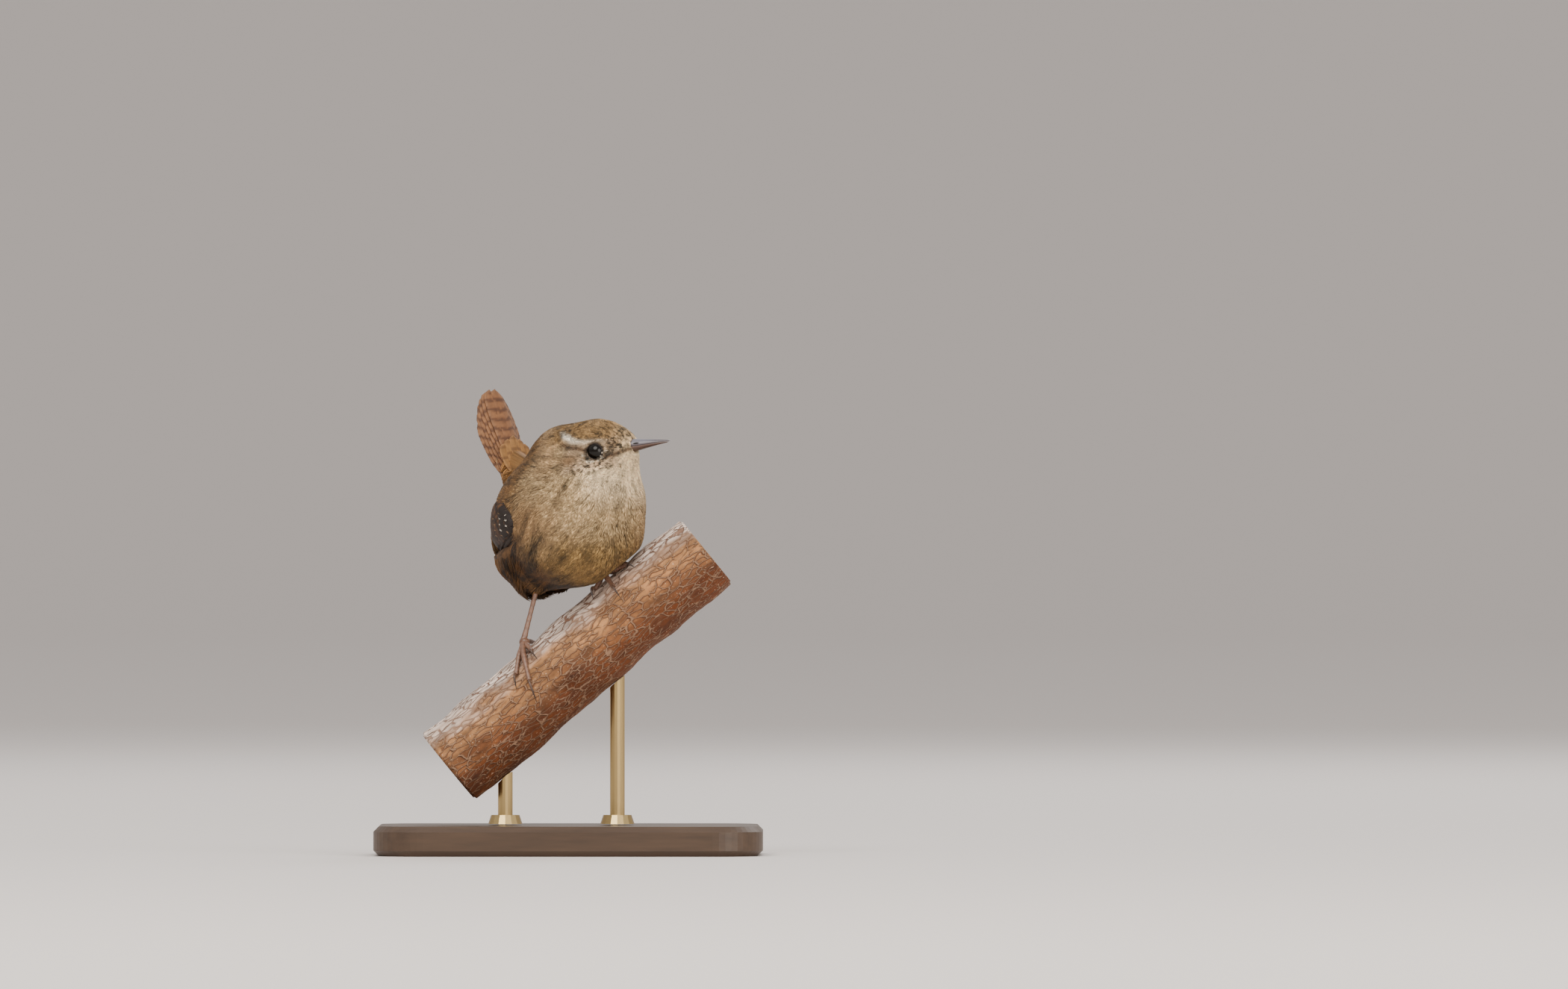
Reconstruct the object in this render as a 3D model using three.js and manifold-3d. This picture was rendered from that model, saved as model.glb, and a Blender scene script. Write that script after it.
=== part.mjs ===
// A life-size wren standing on a cut length of slanting branch, with its tail cocked, on a plain display stand.
// Lengths are millimetres and angles are degrees. The bird has a frame of its own: origin at the middle of
// the torso, +X the way the torso faces, +Y to the bird's left, +Z up. The part's frame has its origin at the
// middle of the stand's underside, +X along the stand and +Z up.

import * as THREE from "three";
import { mergeVertices } from "three/addons/utils/BufferGeometryUtils.js";
import Module from "manifold-3d";

const wasm = await Module();
wasm.setup();

// Driving sizes
const GAP = 0.3; // between pieces that touch
const HEADING = 48; // the torso turns this far from +X towards -Y
const TORSO_HEIGHT = 91; // middle of the torso above the floor

const TORSO = { length: 47, width: 38, depth: 37, pitch: 27 };
const HEAD = { at: [9.4, 1.5, 17.4], length: 21, width: 17.4, depth: 16.9, yaw: 26, pitch: 10 };
const EYE = { ahead: 2.6, side: 6.6, below: 0.9, radius: 2.45 };
const LID = { radius: 2.15, thickness: 0.42, side: 7.75 };

const BILL = { ahead: 9, below: 0.95, yaw: 26, pitch: 9, length: 12.5, width: 4.6, upper: 2.35, lower: 1.65 };

const TAIL = { root: [-15.8, 0, 5], cock: 59, start: 7, length: 32.6, feather_width: 5, thickness: 0.55, pairs: 6 };

const PERCH = { drop: 40.5, slope: 39.2, radius: 11.3, from: -42, to: 48 };
const BASE = { length: 104, width: 66, height: 8, corner: 12, chamfer: 1.5 };
const ROD = { radius: 2, places: [-17, 13] };

const DEG = Math.PI / 180;
const point = (x, y, z) => new THREE.Vector3(x, y, z);
const placed = (list) => point(...list);
const mix = (a, b, t) => a + (b - a) * t;
const bell = (t) => Math.exp(-t * t);

// Turns the +X axis by yaw about +Z, and then raises it by pitch.
function aim(yaw, pitch = 0, roll = 0) {
  return new THREE.Quaternion().setFromEuler(new THREE.Euler(roll * DEG, -pitch * DEG, yaw * DEG, "ZYX"));
}

// Solids
function toSolid(geometry) {
  const bare = geometry.clone();
  bare.deleteAttribute("normal");
  bare.deleteAttribute("uv");
  const merged = mergeVertices(bare, 1e-4);
  return new wasm.Manifold(
    new wasm.Mesh({
      numProp: 3,
      vertProperties: merged.attributes.position.array,
      triVerts: new Uint32Array(merged.index.array),
    }),
  );
}

function toGeometry(solid) {
  const { numProp, vertProperties, triVerts } = solid.getMesh();
  const corners = new Float32Array((vertProperties.length / numProp) * 3);
  for (let i = 0; i * numProp < vertProperties.length; i++) {
    corners.set(vertProperties.subarray(i * numProp, i * numProp + 3), i * 3);
  }
  const geometry = new THREE.BufferGeometry();
  geometry.setAttribute("position", new THREE.BufferAttribute(corners, 3));
  geometry.setIndex(new THREE.BufferAttribute(triVerts, 1));
  return geometry;
}

const join = (solids) => solids.reduce((whole, next) => whole.add(next));
const cut = (solid, ...tools) => tools.reduce((left, tool) => left.subtract(tool), solid);
const largest = (solid) =>
  solid.decompose().reduce((best, next) => (next.volume() > best.volume() ? next : best));

// A closed skin over rings of points, with a flat fan at each end. The two halves of a ring have mirrored
// diagonals, so that the faces of a thin plate split alike.
function loft(rings) {
  const sides = rings[0].length;
  const corners = [];
  const faces = [];
  rings.forEach((ring) => ring.forEach((p) => corners.push(p.x, p.y, p.z)));
  for (let i = 0; i + 1 < rings.length; i++) {
    for (let j = 0; j < sides; j++) {
      const a = i * sides + j;
      const b = i * sides + ((j + 1) % sides);
      const c = a + sides;
      const d = b + sides;
      if (j < sides / 2) faces.push(a, b, d, a, d, c);
      else faces.push(a, b, c, b, d, c);
    }
  }
  const last = (rings.length - 1) * sides;
  for (let j = 1; j + 1 < sides; j++) {
    faces.push(0, j + 1, j);
    faces.push(last, last + j, last + j + 1);
  }
  const geometry = new THREE.BufferGeometry();
  geometry.setAttribute("position", new THREE.Float32BufferAttribute(corners, 3));
  geometry.setIndex(faces);
  return geometry;
}

// A round-sided tube along a path of points. radii holds [across, up] at each point, and up is the way that
// the section's second axis leans.
function tube(path, radii, sides, up) {
  const rings = path.map((p, i) => {
    const ahead = path[Math.min(i + 1, path.length - 1)].clone().sub(path[Math.max(i - 1, 0)]).normalize();
    const across = point().crossVectors(up, ahead).normalize();
    const rise = point().crossVectors(ahead, across);
    return Array.from({ length: sides }, (_, j) => {
      const angle = (2 * Math.PI * j) / sides;
      return p
        .clone()
        .addScaledVector(across, radii[i][0] * Math.cos(angle))
        .addScaledVector(rise, radii[i][1] * Math.sin(angle));
    });
  });
  return loft(rings);
}

// The outer form of the plumage, as a smooth union of ellipsoids in the bird's frame
function lump(at, lengths, turn = aim(0)) {
  const place = new THREE.Matrix4().compose(placed(at), turn, point(1, 1, 1));
  return { inverse: place.clone().invert(), radii: point(...lengths).multiplyScalar(0.5) };
}

function depthIn(p, { inverse, radii }) {
  const near = p.clone().applyMatrix4(inverse).divide(radii);
  const far = near.clone().divide(radii);
  const ratio = near.length();
  return ratio < 1e-6 ? -Math.min(radii.x, radii.y, radii.z) : (ratio * (ratio - 1)) / far.length();
}

function blend(a, b, softness) {
  const overlap = Math.max(softness - Math.abs(a - b), 0) / softness;
  return Math.min(a, b) - (overlap * overlap * softness) / 4;
}

const headPlace = placed(HEAD.at);
const headTurn = aim(HEAD.yaw, HEAD.pitch);
const onHead = (ahead, left, up) => point(ahead, left, up).applyQuaternion(headTurn).add(headPlace);

const tailRoot = placed(TAIL.root);
const tailAlong = point(-Math.cos(TAIL.cock * DEG), 0, Math.sin(TAIL.cock * DEG));
const tailAbove = point(Math.sin(TAIL.cock * DEG), 0, Math.cos(TAIL.cock * DEG));
const onTail = (along, left, above) =>
  tailRoot.clone().addScaledVector(tailAlong, along).addScaledVector(tailAbove, above).add(point(0, left, 0));

const trunk = [
  [lump([0, 0, 0], [TORSO.length, TORSO.width, TORSO.depth], aim(0, TORSO.pitch)), 0],
  [lump([3.2, -0.6, -5], [36, 36, 27], aim(0, -8)), 3],
  [lump(onTail(6, 0, -0.2).toArray(), [21, 11, 9.6], aim(180, TAIL.cock)), 5],
];
const upper = [
  [lump([1, -0.6, 14.4], [22.2, 20.2, 20.2]), 4],
  [lump(HEAD.at, [HEAD.length, HEAD.width, HEAD.depth], headTurn), 3],
  [lump(onHead(6.6, 0, -0.9).toArray(), [11, 8.2, 8.6], headTurn), 4],
  [lump(onHead(5.2, 0, -6.4).toArray(), [11, 10, 11], headTurn), 4],
];

// Thighs run from inside the torso down to the heel.
const HEELS = { right: [-6.2, -6, -20], left: [6.8, 8.2, -12.6] };
const THIGH = { length: 19, width: 8.4 };

function thighLump(heel) {
  const end = placed(heel);
  const start = end.clone().multiply(point(0.35, 0.95, 0.3));
  const way = end.clone().sub(start).normalize();
  const turn = new THREE.Quaternion().setFromUnitVectors(point(1, 0, 0), way);
  const middle = end.clone().addScaledVector(way, -THIGH.length / 2 + 1.2);
  return lump(middle.toArray(), [THIGH.length, THIGH.width, THIGH.width], turn);
}

const thighs = [
  [thighLump(HEELS.right), 3],
  [thighLump(HEELS.left), 3],
];

const gather = (lumps) => (p) =>
  lumps.reduce((near, [each, softness]) => {
    const next = depthIn(p, each);
    return near === null ? next : blend(near, next, softness);
  }, null);
const trunkForm = gather(trunk);
const wholeForm = gather([...trunk, ...upper, ...thighs]);

function slopeOf(form, p) {
  const step = 0.05;
  const along = (x, y, z) => form(p.clone().add(point(x, y, z))) - form(p.clone().sub(point(x, y, z)));
  return point(along(step, 0, 0), along(0, step, 0), along(0, 0, step)).divideScalar(2 * step);
}

// Moves a point to where the form's depth has the level asked for.
function settle(form, p, level) {
  const moved = p.clone();
  for (let i = 0; i < 4; i++) {
    const slope = slopeOf(form, moved);
    moved.addScaledVector(slope, (level - form(moved)) / slope.lengthSq());
  }
  return moved;
}

// A closed mesh of a form, seen from a point inside it.
function cast(form, centre, detail, level = 0) {
  const farthest = 60;
  const ball = new THREE.IcosahedronGeometry(1, detail);
  ball.deleteAttribute("normal");
  ball.deleteAttribute("uv");
  const skin = mergeVertices(ball, 1e-4);
  const places = skin.attributes.position;
  const way = point();
  for (let i = 0; i < places.count; i++) {
    way.fromBufferAttribute(places, i).normalize();
    const value = (r) => form(centre.clone().addScaledVector(way, r)) - level;
    let outside = farthest;
    while (outside > 1 && value(outside - 1) > 0) outside -= 1;
    let inside = outside - 1;
    for (let k = 0; k < 18; k++) {
      const middle = (inside + outside) / 2;
      if (value(middle) > 0) outside = middle;
      else inside = middle;
    }
    places.setXYZ(i, ...centre.clone().addScaledVector(way, inside).toArray());
  }
  return skin;
}

// A block with one face through a point, filling the side that the direction points to.
function block(at, way, width, length = width) {
  const turn = new THREE.Quaternion().setFromUnitVectors(point(0, 0, 1), way.clone().normalize());
  const box = new THREE.BoxGeometry(width, width, length).translate(0, 0, length / 2);
  return toSolid(box.applyQuaternion(turn).translate(at.x, at.y, at.z));
}

const beyond = (at, way, distance) => at.clone().addScaledVector(way.clone().normalize(), distance);

// Where the bird is parted
const BIG = 120;
const headCut = { at: onHead(0, 0, -4.6), way: point(0.3, 0, 1).applyQuaternion(headTurn) };
const neckCut = { at: point(5.5, 0.6, 7.6), way: point(0.28, 0.08, 1) };
const tailCut = { at: onTail(TAIL.start, 0, 0), way: tailAlong };
const sideOf = ({ at, way }, distance, size = BIG) => block(beyond(at, way, distance), way, size);
const sideBelow = ({ at, way }, distance, size = BIG) =>
  block(beyond(at, way, -distance), way.clone().negate(), size);

const torsoCentre = point(0, 0, 1);
const wholeFromTorso = toSolid(cast(wholeForm, torsoCentre, 9));
const wholeFromHead = toSolid(cast(wholeForm, headPlace, 10));
const grownBird = toSolid(cast(wholeForm, torsoCentre, 10, GAP));

// Eyes
const eyeBall = (side, clearance = 0) => {
  const at = onHead(EYE.ahead, side * EYE.side, -EYE.below);
  return toSolid(new THREE.IcosahedronGeometry(EYE.radius + clearance, 3).translate(at.x, at.y, at.z));
};
const lidTurn = (side) =>
  headTurn.clone().multiply(new THREE.Quaternion().setFromEuler(new THREE.Euler(-side * 90 * DEG, 0, side * -8 * DEG)));

function lidRing(side) {
  const at = onHead(EYE.ahead, side * LID.side, -EYE.below);
  const ring = new THREE.TorusGeometry(LID.radius, LID.thickness, 5, 16).applyQuaternion(lidTurn(side));
  return toSolid(ring.translate(at.x, at.y, at.z));
}

// The bill is two lofts along one slightly drooping line, rooted inside the head.
const billTurn = aim(BILL.yaw, BILL.pitch);
const billRoot = onHead(BILL.ahead, 0, -BILL.below);
const onBill = (along, left, up) => point(along, left, up).applyQuaternion(billTurn).add(billRoot);
const billDroop = (t) => -0.5 * t ** 3;
const MOUTH_GAP = 0.3;

function mandible(side, depth) {
  const stations = [0, 0.14, 0.28, 0.42, 0.56, 0.7, 0.83, 0.93, 1];
  const points = 8;
  const reach = side > 0 ? BILL.length : BILL.length - 0.5;
  const rings = stations.map((t) => {
    const taper = mix(1, 0.09, t ** 0.86);
    return Array.from({ length: points }, (_, j) => {
      const angle = (Math.PI * j) / (points - 1);
      const across = (BILL.width / 2) * taper * Math.cos(angle);
      const rise = (MOUTH_GAP / 2 + depth * taper * Math.sin(angle)) * side;
      return onBill(reach * t, across * side, rise + billDroop(t));
    });
  });
  return toSolid(loft(rings));
}

function nostril(side) {
  const hole = new THREE.SphereGeometry(1, 8, 6).scale(0.95, 0.45, 0.3).applyQuaternion(billTurn);
  const at = onBill(5.3, side * 1.28, 1.05);
  return toSolid(hole.translate(at.x, at.y, at.z));
}

// The corner of the mouth runs back from the bill under the lores.
function mouthLine() {
  const slit = new THREE.BoxGeometry(6.4, 9, MOUTH_GAP).applyQuaternion(billTurn);
  const at = onBill(1.9, 0, -0.05);
  return toSolid(slit.translate(at.x, at.y, at.z));
}

// Feathers
// A vane lies along a path, flat to its normals, with half its width to each side.
function vane(path, normals, halves, thickness) {
  const rings = path.map((p, i) => {
    const ahead = path[Math.min(i + 1, path.length - 1)].clone().sub(path[Math.max(i - 1, 0)]).normalize();
    const left = point().crossVectors(normals[i], ahead).normalize();
    const up = point().crossVectors(ahead, left);
    const corner = (side, level) =>
      p.clone().addScaledVector(left, side * halves[i]).addScaledVector(up, (level * thickness[i]) / 2);
    return [corner(-1, -1), corner(1, -1), corner(1, 1), corner(-1, 1)];
  });
  return toSolid(loft(rings));
}

// Half-widths along a feather: narrow root, parallel middle and round tip.
const OUTLINE = [
  [0, 0.5],
  [0.35, 0.95],
  [0.78, 1],
  [0.95, 0.74],
  [1, 0.34],
];

// A straight feather of the tail, bowed a little across its length
function tailFeather(start, spread, level, length, width, thick, lift = 0) {
  const path = OUTLINE.map(([t]) => {
    const s = t * length;
    const bow = 0.9 * Math.sin(Math.PI * t) - lift * t * t;
    return onTail(start[0] + s * Math.cos(spread * DEG), start[1] + s * Math.sin(spread * DEG), level - bow);
  });
  const turn = point(0, spread * 0.012, 0);
  const normals = path.map(() => tailAbove.clone().add(turn).normalize());
  return vane(
    path,
    normals,
    OUTLINE.map(([, w]) => (w * width) / 2),
    OUTLINE.map(([t]) => thick * (t > 0.95 ? 0.7 : 1)),
  );
}

function tailSolid() {
  const start = TAIL.start + 1;
  const feathers = [];
  for (let i = 0; i < TAIL.pairs; i++) {
    const length = TAIL.length * (1 - 0.006 * i - 0.0085 * i * i) - start;
    for (const side of [-1, 1]) {
      const root = [start, side * (0.6 + 0.42 * i)];
      const level = 1.45 - 0.5 * i + side * 0.14;
      feathers.push(
        tailFeather(root, side * (0.6 + 1.25 * i), level, length, TAIL.feather_width, TAIL.thickness),
      );
    }
  }
  for (const [left, length] of [[0, 10.5], [-2.6, 8.6], [2.6, 8.6]]) {
    const low = Math.abs(left) * 0.3;
    feathers.push(tailFeather([start - 0.5, left], left * 1.8, 2.6 - low, length, 4.2, 0.6, 0.3));
    feathers.push(tailFeather([start - 0.5, left], left * 1.8, low - 2.4, length * 0.85, 4.2, 0.6, 0));
  }
  return largest(join([wholeFromTorso.intersect(sideOf(tailCut, GAP / 2, 15)), ...feathers]));
}

// The wing lies on the side of the trunk. (ahead, up) places a point in the side view, and its depth comes
// from the trunk's surface.
const WING = { shoulder: [6.5, 3.5], sink: 1.9, plate: 0.6 };

function onSide(ahead, up, level) {
  const start = point(ahead, -17, up);
  return settle(trunkForm, start, level);
}

// A feather that starts on the wing and runs back over the side, as stiff as a quill: it follows the trunk's
// curve only where it would otherwise enter it.
function wingFeather({ root, slant, length, width, from, to, thick = WING.plate, tilt = 0 }) {
  const steps = 14;
  const step = length / steps;
  const path = [onSide(root[0], root[1], from)];
  let way = point(-Math.cos(slant * DEG), 0, -Math.sin(slant * DEG));
  const normalAt = (p) => slopeOf(trunkForm, p).normalize();
  way.addScaledVector(normalAt(path[0]), -way.dot(normalAt(path[0]))).normalize();
  for (let i = 1; i <= steps; i++) {
    const level = mix(from, to, Math.min((1.6 * i) / steps, 1));
    const next = path[i - 1].clone().addScaledVector(way, step);
    const held = settle(trunkForm, next, level);
    const stiffness = next.y > held.y ? 0 : 0.35;
    next.copy(held.lerp(next, stiffness));
    way = next.clone().sub(path[i - 1]).normalize();
    path.push(next);
  }
  const at = (t) => {
    const k = Math.min(Math.floor(t * steps), steps - 1);
    return path[k].clone().lerp(path[k + 1], t * steps - k);
  };
  const spots = OUTLINE.map(([t]) => at(t));
  const normals = spots.map((p, i) => {
    const ahead = spots[Math.min(i + 1, spots.length - 1)].clone().sub(spots[Math.max(i - 1, 0)]).normalize();
    return normalAt(p).applyAxisAngle(ahead, tilt * DEG);
  });
  return vane(
    spots,
    normals,
    OUTLINE.map(([, w]) => (w * width) / 2),
    OUTLINE.map(([t]) => thick * (t > 0.95 ? 0.7 : 1)),
  );
}

// The fleshy part of the wing under the small coverts
function wingPad() {
  const shell = toSolid(cast(trunkForm, torsoCentre, 7, 0.35)).subtract(
    toSolid(cast(trunkForm, torsoCentre, 7, -WING.sink)),
  );
  const pad = new THREE.SphereGeometry(1, 12, 8).scale(11, 14, 7.2).rotateY(20 * DEG);
  return shell.intersect(toSolid(pad.translate(-1.5, -17, 2.6)));
}

function wingSolid() {
  const feathers = [];
  const primaries = 6;
  for (let i = 0; i < primaries; i++) {
    feathers.push({
      root: [2.5 - 0.7 * i, -3.2 + 0.55 * i], slant: 26 - 1.6 * i, length: 27 - 1.1 * i,
      width: 4.6, from: -1.2, to: 1 + 0.02 * i, tilt: 6,
    });
  }
  const secondaries = 5;
  for (let i = 0; i < secondaries; i++) {
    feathers.push({
      root: [-1.5 - 0.4 * i, -0.4 + 1.95 * i], slant: 22 + i, length: 18.2 - 1.2 * i,
      width: 5.2, from: -0.6, to: 1.1 + 0.08 * i, tilt: 9,
    });
  }
  const greater = 6;
  for (let i = 0; i < greater; i++) {
    feathers.push({
      root: [1.5 - 0.2 * i, -3.2 + 2 * i], slant: 20 + 1.8 * i, length: 10,
      width: 4, from: -0.1, to: 1.3 + 0.16 * i, thick: 0.5, tilt: 9,
    });
  }
  const median = 5;
  for (let i = 0; i < median; i++) {
    feathers.push({
      root: [5 - 0.1 * i, -1.4 + 2 * i], slant: 18 + 2.4 * i, length: 7.4,
      width: 3.9, from: 0.2, to: 1.7 + 0.12 * i, thick: 0.5, tilt: 8,
    });
  }
  for (let i = 0; i < 2; i++) {
    feathers.push({
      root: [4.6 - 1.2 * i, -4.6 - 0.2 * i], slant: 24, length: 9 - i,
      width: 2.8, from: -0.2, to: 0.9, thick: 0.5, tilt: 8,
    });
  }
  return largest(join([wingPad(), ...feathers.map(wingFeather)]));
}

// The hollow in the torso's side that the wing lies in, one gap larger than the wing's own floor
function wingPocket() {
  const outer = toSolid(cast(trunkForm, torsoCentre, 4, 9));
  const inner = toSolid(cast(trunkForm, torsoCentre, 7, -WING.sink - GAP));
  const outline = [
    [9.9, 3.5], [8.2, 8], [3.5, 10.4], [-3, 10.9], [-10, 9.6], [-14.5, 6], [-15.5, 0], [-15.5, -8],
    [-14, -12.6], [-10, -11.2], [0, -7.9], [6, -5.6], [9.3, -1.6],
  ];
  const shape = new THREE.Shape(outline.map(([x, z]) => new THREE.Vector2(x, z)));
  const prism = new THREE.ExtrudeGeometry(shape, { depth: 40, bevelEnabled: false });
  const side = toSolid(prism.rotateX(90 * DEG).translate(0, -4, 0));
  return outer.subtract(inner).intersect(side);
}

function mirrored(geometry) {
  const other = geometry.clone().scale(1, -1, 1);
  const order = other.index.array;
  for (let i = 0; i < order.length; i += 3) [order[i + 1], order[i + 2]] = [order[i + 2], order[i + 1]];
  return other;
}

const TOE_ROOM = 2.7; // between the plumage and the perch, for the toes

// The perch: a stretch of branch with knots, in the part's frame
const slope = PERCH.slope * DEG;
const perchAlong = point(Math.cos(slope), 0, Math.sin(slope));
const perchAbove = point(-Math.sin(slope), 0, Math.cos(slope));
const perchFront = point(0, -1, 0);
const perchMiddle = point(0, 0, TORSO_HEIGHT - PERCH.drop);
const KNOTS = [
  { along: 1, around: 106, size: 1, spread: 2.8 },
  { along: 27, around: 210, size: 1.3, spread: 4 },
  { along: -26, around: 300, size: 1.2, spread: 4.5 },
];

function perchRadius(along, around) {
  const waves = 0.22 * Math.sin(0.21 * along + 2 * around * DEG) + 0.16 * Math.sin(0.4 * along - 3 * around * DEG);
  const knots = KNOTS.reduce((sum, knot) => {
    const turned = Math.abs(((around - knot.around + 540) % 360) - 180) * DEG * PERCH.radius;
    return sum + knot.size * bell(Math.hypot(along - knot.along, turned) / knot.spread);
  }, 0);
  return PERCH.radius - 0.006 * along + waves + knots;
}

function onPerch(along, around, lift) {
  const bend = 0.7 * Math.sin(0.05 * along);
  const reach = perchRadius(along, around) + lift;
  return perchMiddle
    .clone()
    .addScaledVector(perchAlong, along)
    .addScaledVector(perchAbove, reach * Math.cos(around * DEG) + bend)
    .addScaledVector(perchFront, reach * Math.sin(around * DEG));
}

function perchSolid(clearance = 0) {
  const sides = 24;
  const stations = 18;
  const rings = Array.from({ length: stations + 1 }, (_, i) => {
    const along = mix(PERCH.from, PERCH.to, i / stations);
    const edge = i === 0 || i === stations ? -0.7 : 0;
    return Array.from({ length: sides }, (_, j) => onPerch(along, (360 * j) / sides, clearance + edge));
  });
  return toSolid(loft(rings));
}

// Legs. Toes follow the perch, by their place along it and round it from its upper line towards the front.
const birdPlace = new THREE.Matrix4().compose(point(0, 0, TORSO_HEIGHT), aim(-HEADING), point(1, 1, 1));
const toBird = birdPlace.clone().invert();
const inBird = (p) => p.clone().applyMatrix4(toBird);

const FEET = {
  right: {
    heel: [-6.0, -5.4, -17.5],
    ball: { along: -5.1, around: 14 },
    toes: {
      inner: { along: -5, around: 38, claw: [-5.2, 55] },
      middle: { along: -10.4, around: 70, claw: [-12.6, 98] },
      outer: { along: -12.2, around: 50, claw: [-14.6, 67] },
      hind: { along: -3, around: -32, claw: [-2, -60] },
    },
  },
  left: {
    heel: [6, 7.2, -7.5],
    ball: { along: 23, around: 12 },
    toes: {
      inner: { along: 18.6, around: 21, claw: [16.4, 34] },
      middle: { along: 22.8, around: 46, claw: [22.4, 66] },
      outer: { along: 28.8, around: 27, claw: [30.6, 43] },
      hind: { along: 26.8, around: -40, claw: [26.4, -68] },
    },
  },
};
const TOE = { root: 0.84, tip: 0.6, ball: 1.45 };
const TARSUS = { top: 0.75, middle: 0.62, foot: 0.95 };
const CLAW_ROOT = 0.55;

function toePath({ ball, toe, steps }) {
  return Array.from({ length: steps + 1 }, (_, i) => {
    const t = i / steps;
    const start = 0.9 * (1 - t) ** 2;
    const radius = mix(TOE.root, TOE.tip, t);
    return inBird(
      onPerch(mix(ball.along, toe.along, t), mix(ball.around, toe.around, t), radius + GAP + start),
    );
  });
}

const awayFromPerch = (p) => {
  const world = p.clone().applyMatrix4(birdPlace).sub(perchMiddle);
  world.addScaledVector(perchAlong, -world.dot(perchAlong));
  return world.normalize().applyQuaternion(aim(HEADING));
};

function footSolid({ ball, toes }) {
  const joints = 2;
  const steps = 7;
  const pieces = Object.values(toes).map((toe) => {
    const path = toePath({ ball, toe, steps });
    const radii = path.map((_, i) => {
      const t = i / steps;
      const pad = 1 + 0.11 * Math.cos(2 * Math.PI * joints * t);
      return [mix(TOE.root, TOE.tip, t) * pad, mix(TOE.root, TOE.tip, t) * pad];
    });
    return toSolid(tube(path, radii, 6, awayFromPerch(path[4])));
  });
  const middle = inBird(onPerch(ball.along, ball.around, TOE.ball + GAP + 0.1));
  const knuckle = new THREE.IcosahedronGeometry(TOE.ball, 2).translate(middle.x, middle.y, middle.z);
  return join([toSolid(knuckle), ...pieces]);
}

function clawSolid({ toe }) {
  const steps = 6;
  const path = Array.from({ length: steps + 1 }, (_, i) => {
    const t = i / steps;
    const along = mix(toe.along, toe.claw[0], t);
    const around = mix(toe.around, toe.claw[1], t);
    const lift = mix(TOE.tip + GAP + 0.1, GAP + 0.05, t) + 1.5 * Math.sin(Math.PI * t ** 0.8) * (1 - 0.45 * t);
    return inBird(onPerch(along, around, lift));
  });
  const way = path[1].clone().sub(path[0]).normalize();
  path[0].addScaledVector(way, GAP + 0.15);
  const radii = path.map((_, i) => {
    const t = i / steps;
    const size = mix(CLAW_ROOT, 0.09, t ** 1.2);
    return [size * 0.75, size];
  });
  return toSolid(tube(path, radii, 6, awayFromPerch(path[3])));
}

function tarsusSolid({ heel, ball }) {
  const top = placed(heel);
  const foot = inBird(onPerch(ball.along, ball.around, TOE.ball + GAP + 0.6));
  const steps = 6;
  const path = Array.from({ length: steps + 1 }, (_, i) => top.clone().lerp(foot, i / steps));
  const radii = path.map((_, i) => {
    const t = i / steps;
    const size = t < 0.5 ? mix(TARSUS.top, TARSUS.middle, t * 2) : mix(TARSUS.middle, TARSUS.foot, (t * 2 - 1) ** 2);
    return [size * 0.9, size];
  });
  return toSolid(tube(path, radii, 8, point(1, 0, 0)));
}

// A ball about the middle of the foot: the leg ends clear of the small one, and the large one is the hollow
// that the foot makes in the plumage.
const HOLLOW = 3.6;
function footBall({ ball }, radius) {
  const middle = inBird(onPerch(ball.along, ball.around, TOE.ball + GAP + 0.1));
  return toSolid(new THREE.IcosahedronGeometry(radius, 3).translate(middle.x, middle.y, middle.z));
}
const feet = Object.values(FEET);
const clearOfBird = cut(grownBird, ...feet.map((foot) => footBall(foot, HOLLOW - GAP)));
const hollows = join(feet.map((foot) => footBall(foot, HOLLOW)));

const thighCut = (side) => {
  const heel = placed(HEELS[side]);
  const way = heel.clone().multiply(point(0.65, 0.05, 0.7)).normalize();
  return { at: heel.clone().addScaledVector(way, -4.2), way };
};

// The stand
function baseSolid() {
  const x = BASE.length / 2 - BASE.chamfer;
  const y = BASE.width / 2 - BASE.chamfer;
  const r = BASE.corner;
  const shape = new THREE.Shape();
  shape.moveTo(-x + r, -y);
  shape.lineTo(x - r, -y).absarc(x - r, -y + r, r, -Math.PI / 2, 0);
  shape.lineTo(x, y - r).absarc(x - r, y - r, r, 0, Math.PI / 2);
  shape.lineTo(-x + r, y).absarc(-x + r, y - r, r, Math.PI / 2, Math.PI);
  shape.lineTo(-x, -y + r).absarc(-x + r, -y + r, r, Math.PI, 1.5 * Math.PI);
  const plate = new THREE.ExtrudeGeometry(shape, {
    depth: BASE.height - 2 * BASE.chamfer,
    bevelThickness: BASE.chamfer,
    bevelSize: BASE.chamfer,
    bevelSegments: 1,
    curveSegments: 6,
  });
  return toSolid(plate.translate(0, 0, BASE.chamfer));
}

function rodSolid(x, perchClear) {
  const bottom = BASE.height + GAP;
  const top = TORSO_HEIGHT - PERCH.drop + Math.tan(slope) * x;
  const rod = new THREE.CylinderGeometry(ROD.radius, ROD.radius, top - bottom, 16).rotateX(90 * DEG);
  const foot = new THREE.CylinderGeometry(ROD.radius * 1.9, ROD.radius * 2.3, 2.4, 16).rotateX(90 * DEG);
  return largest(
    cut(
      join([
        toSolid(rod.translate(x, 0, (top + bottom) / 2)),
        toSolid(foot.translate(x, 0, bottom + 1.2)),
      ]),
      perchClear,
    ),
  );
}

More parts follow.
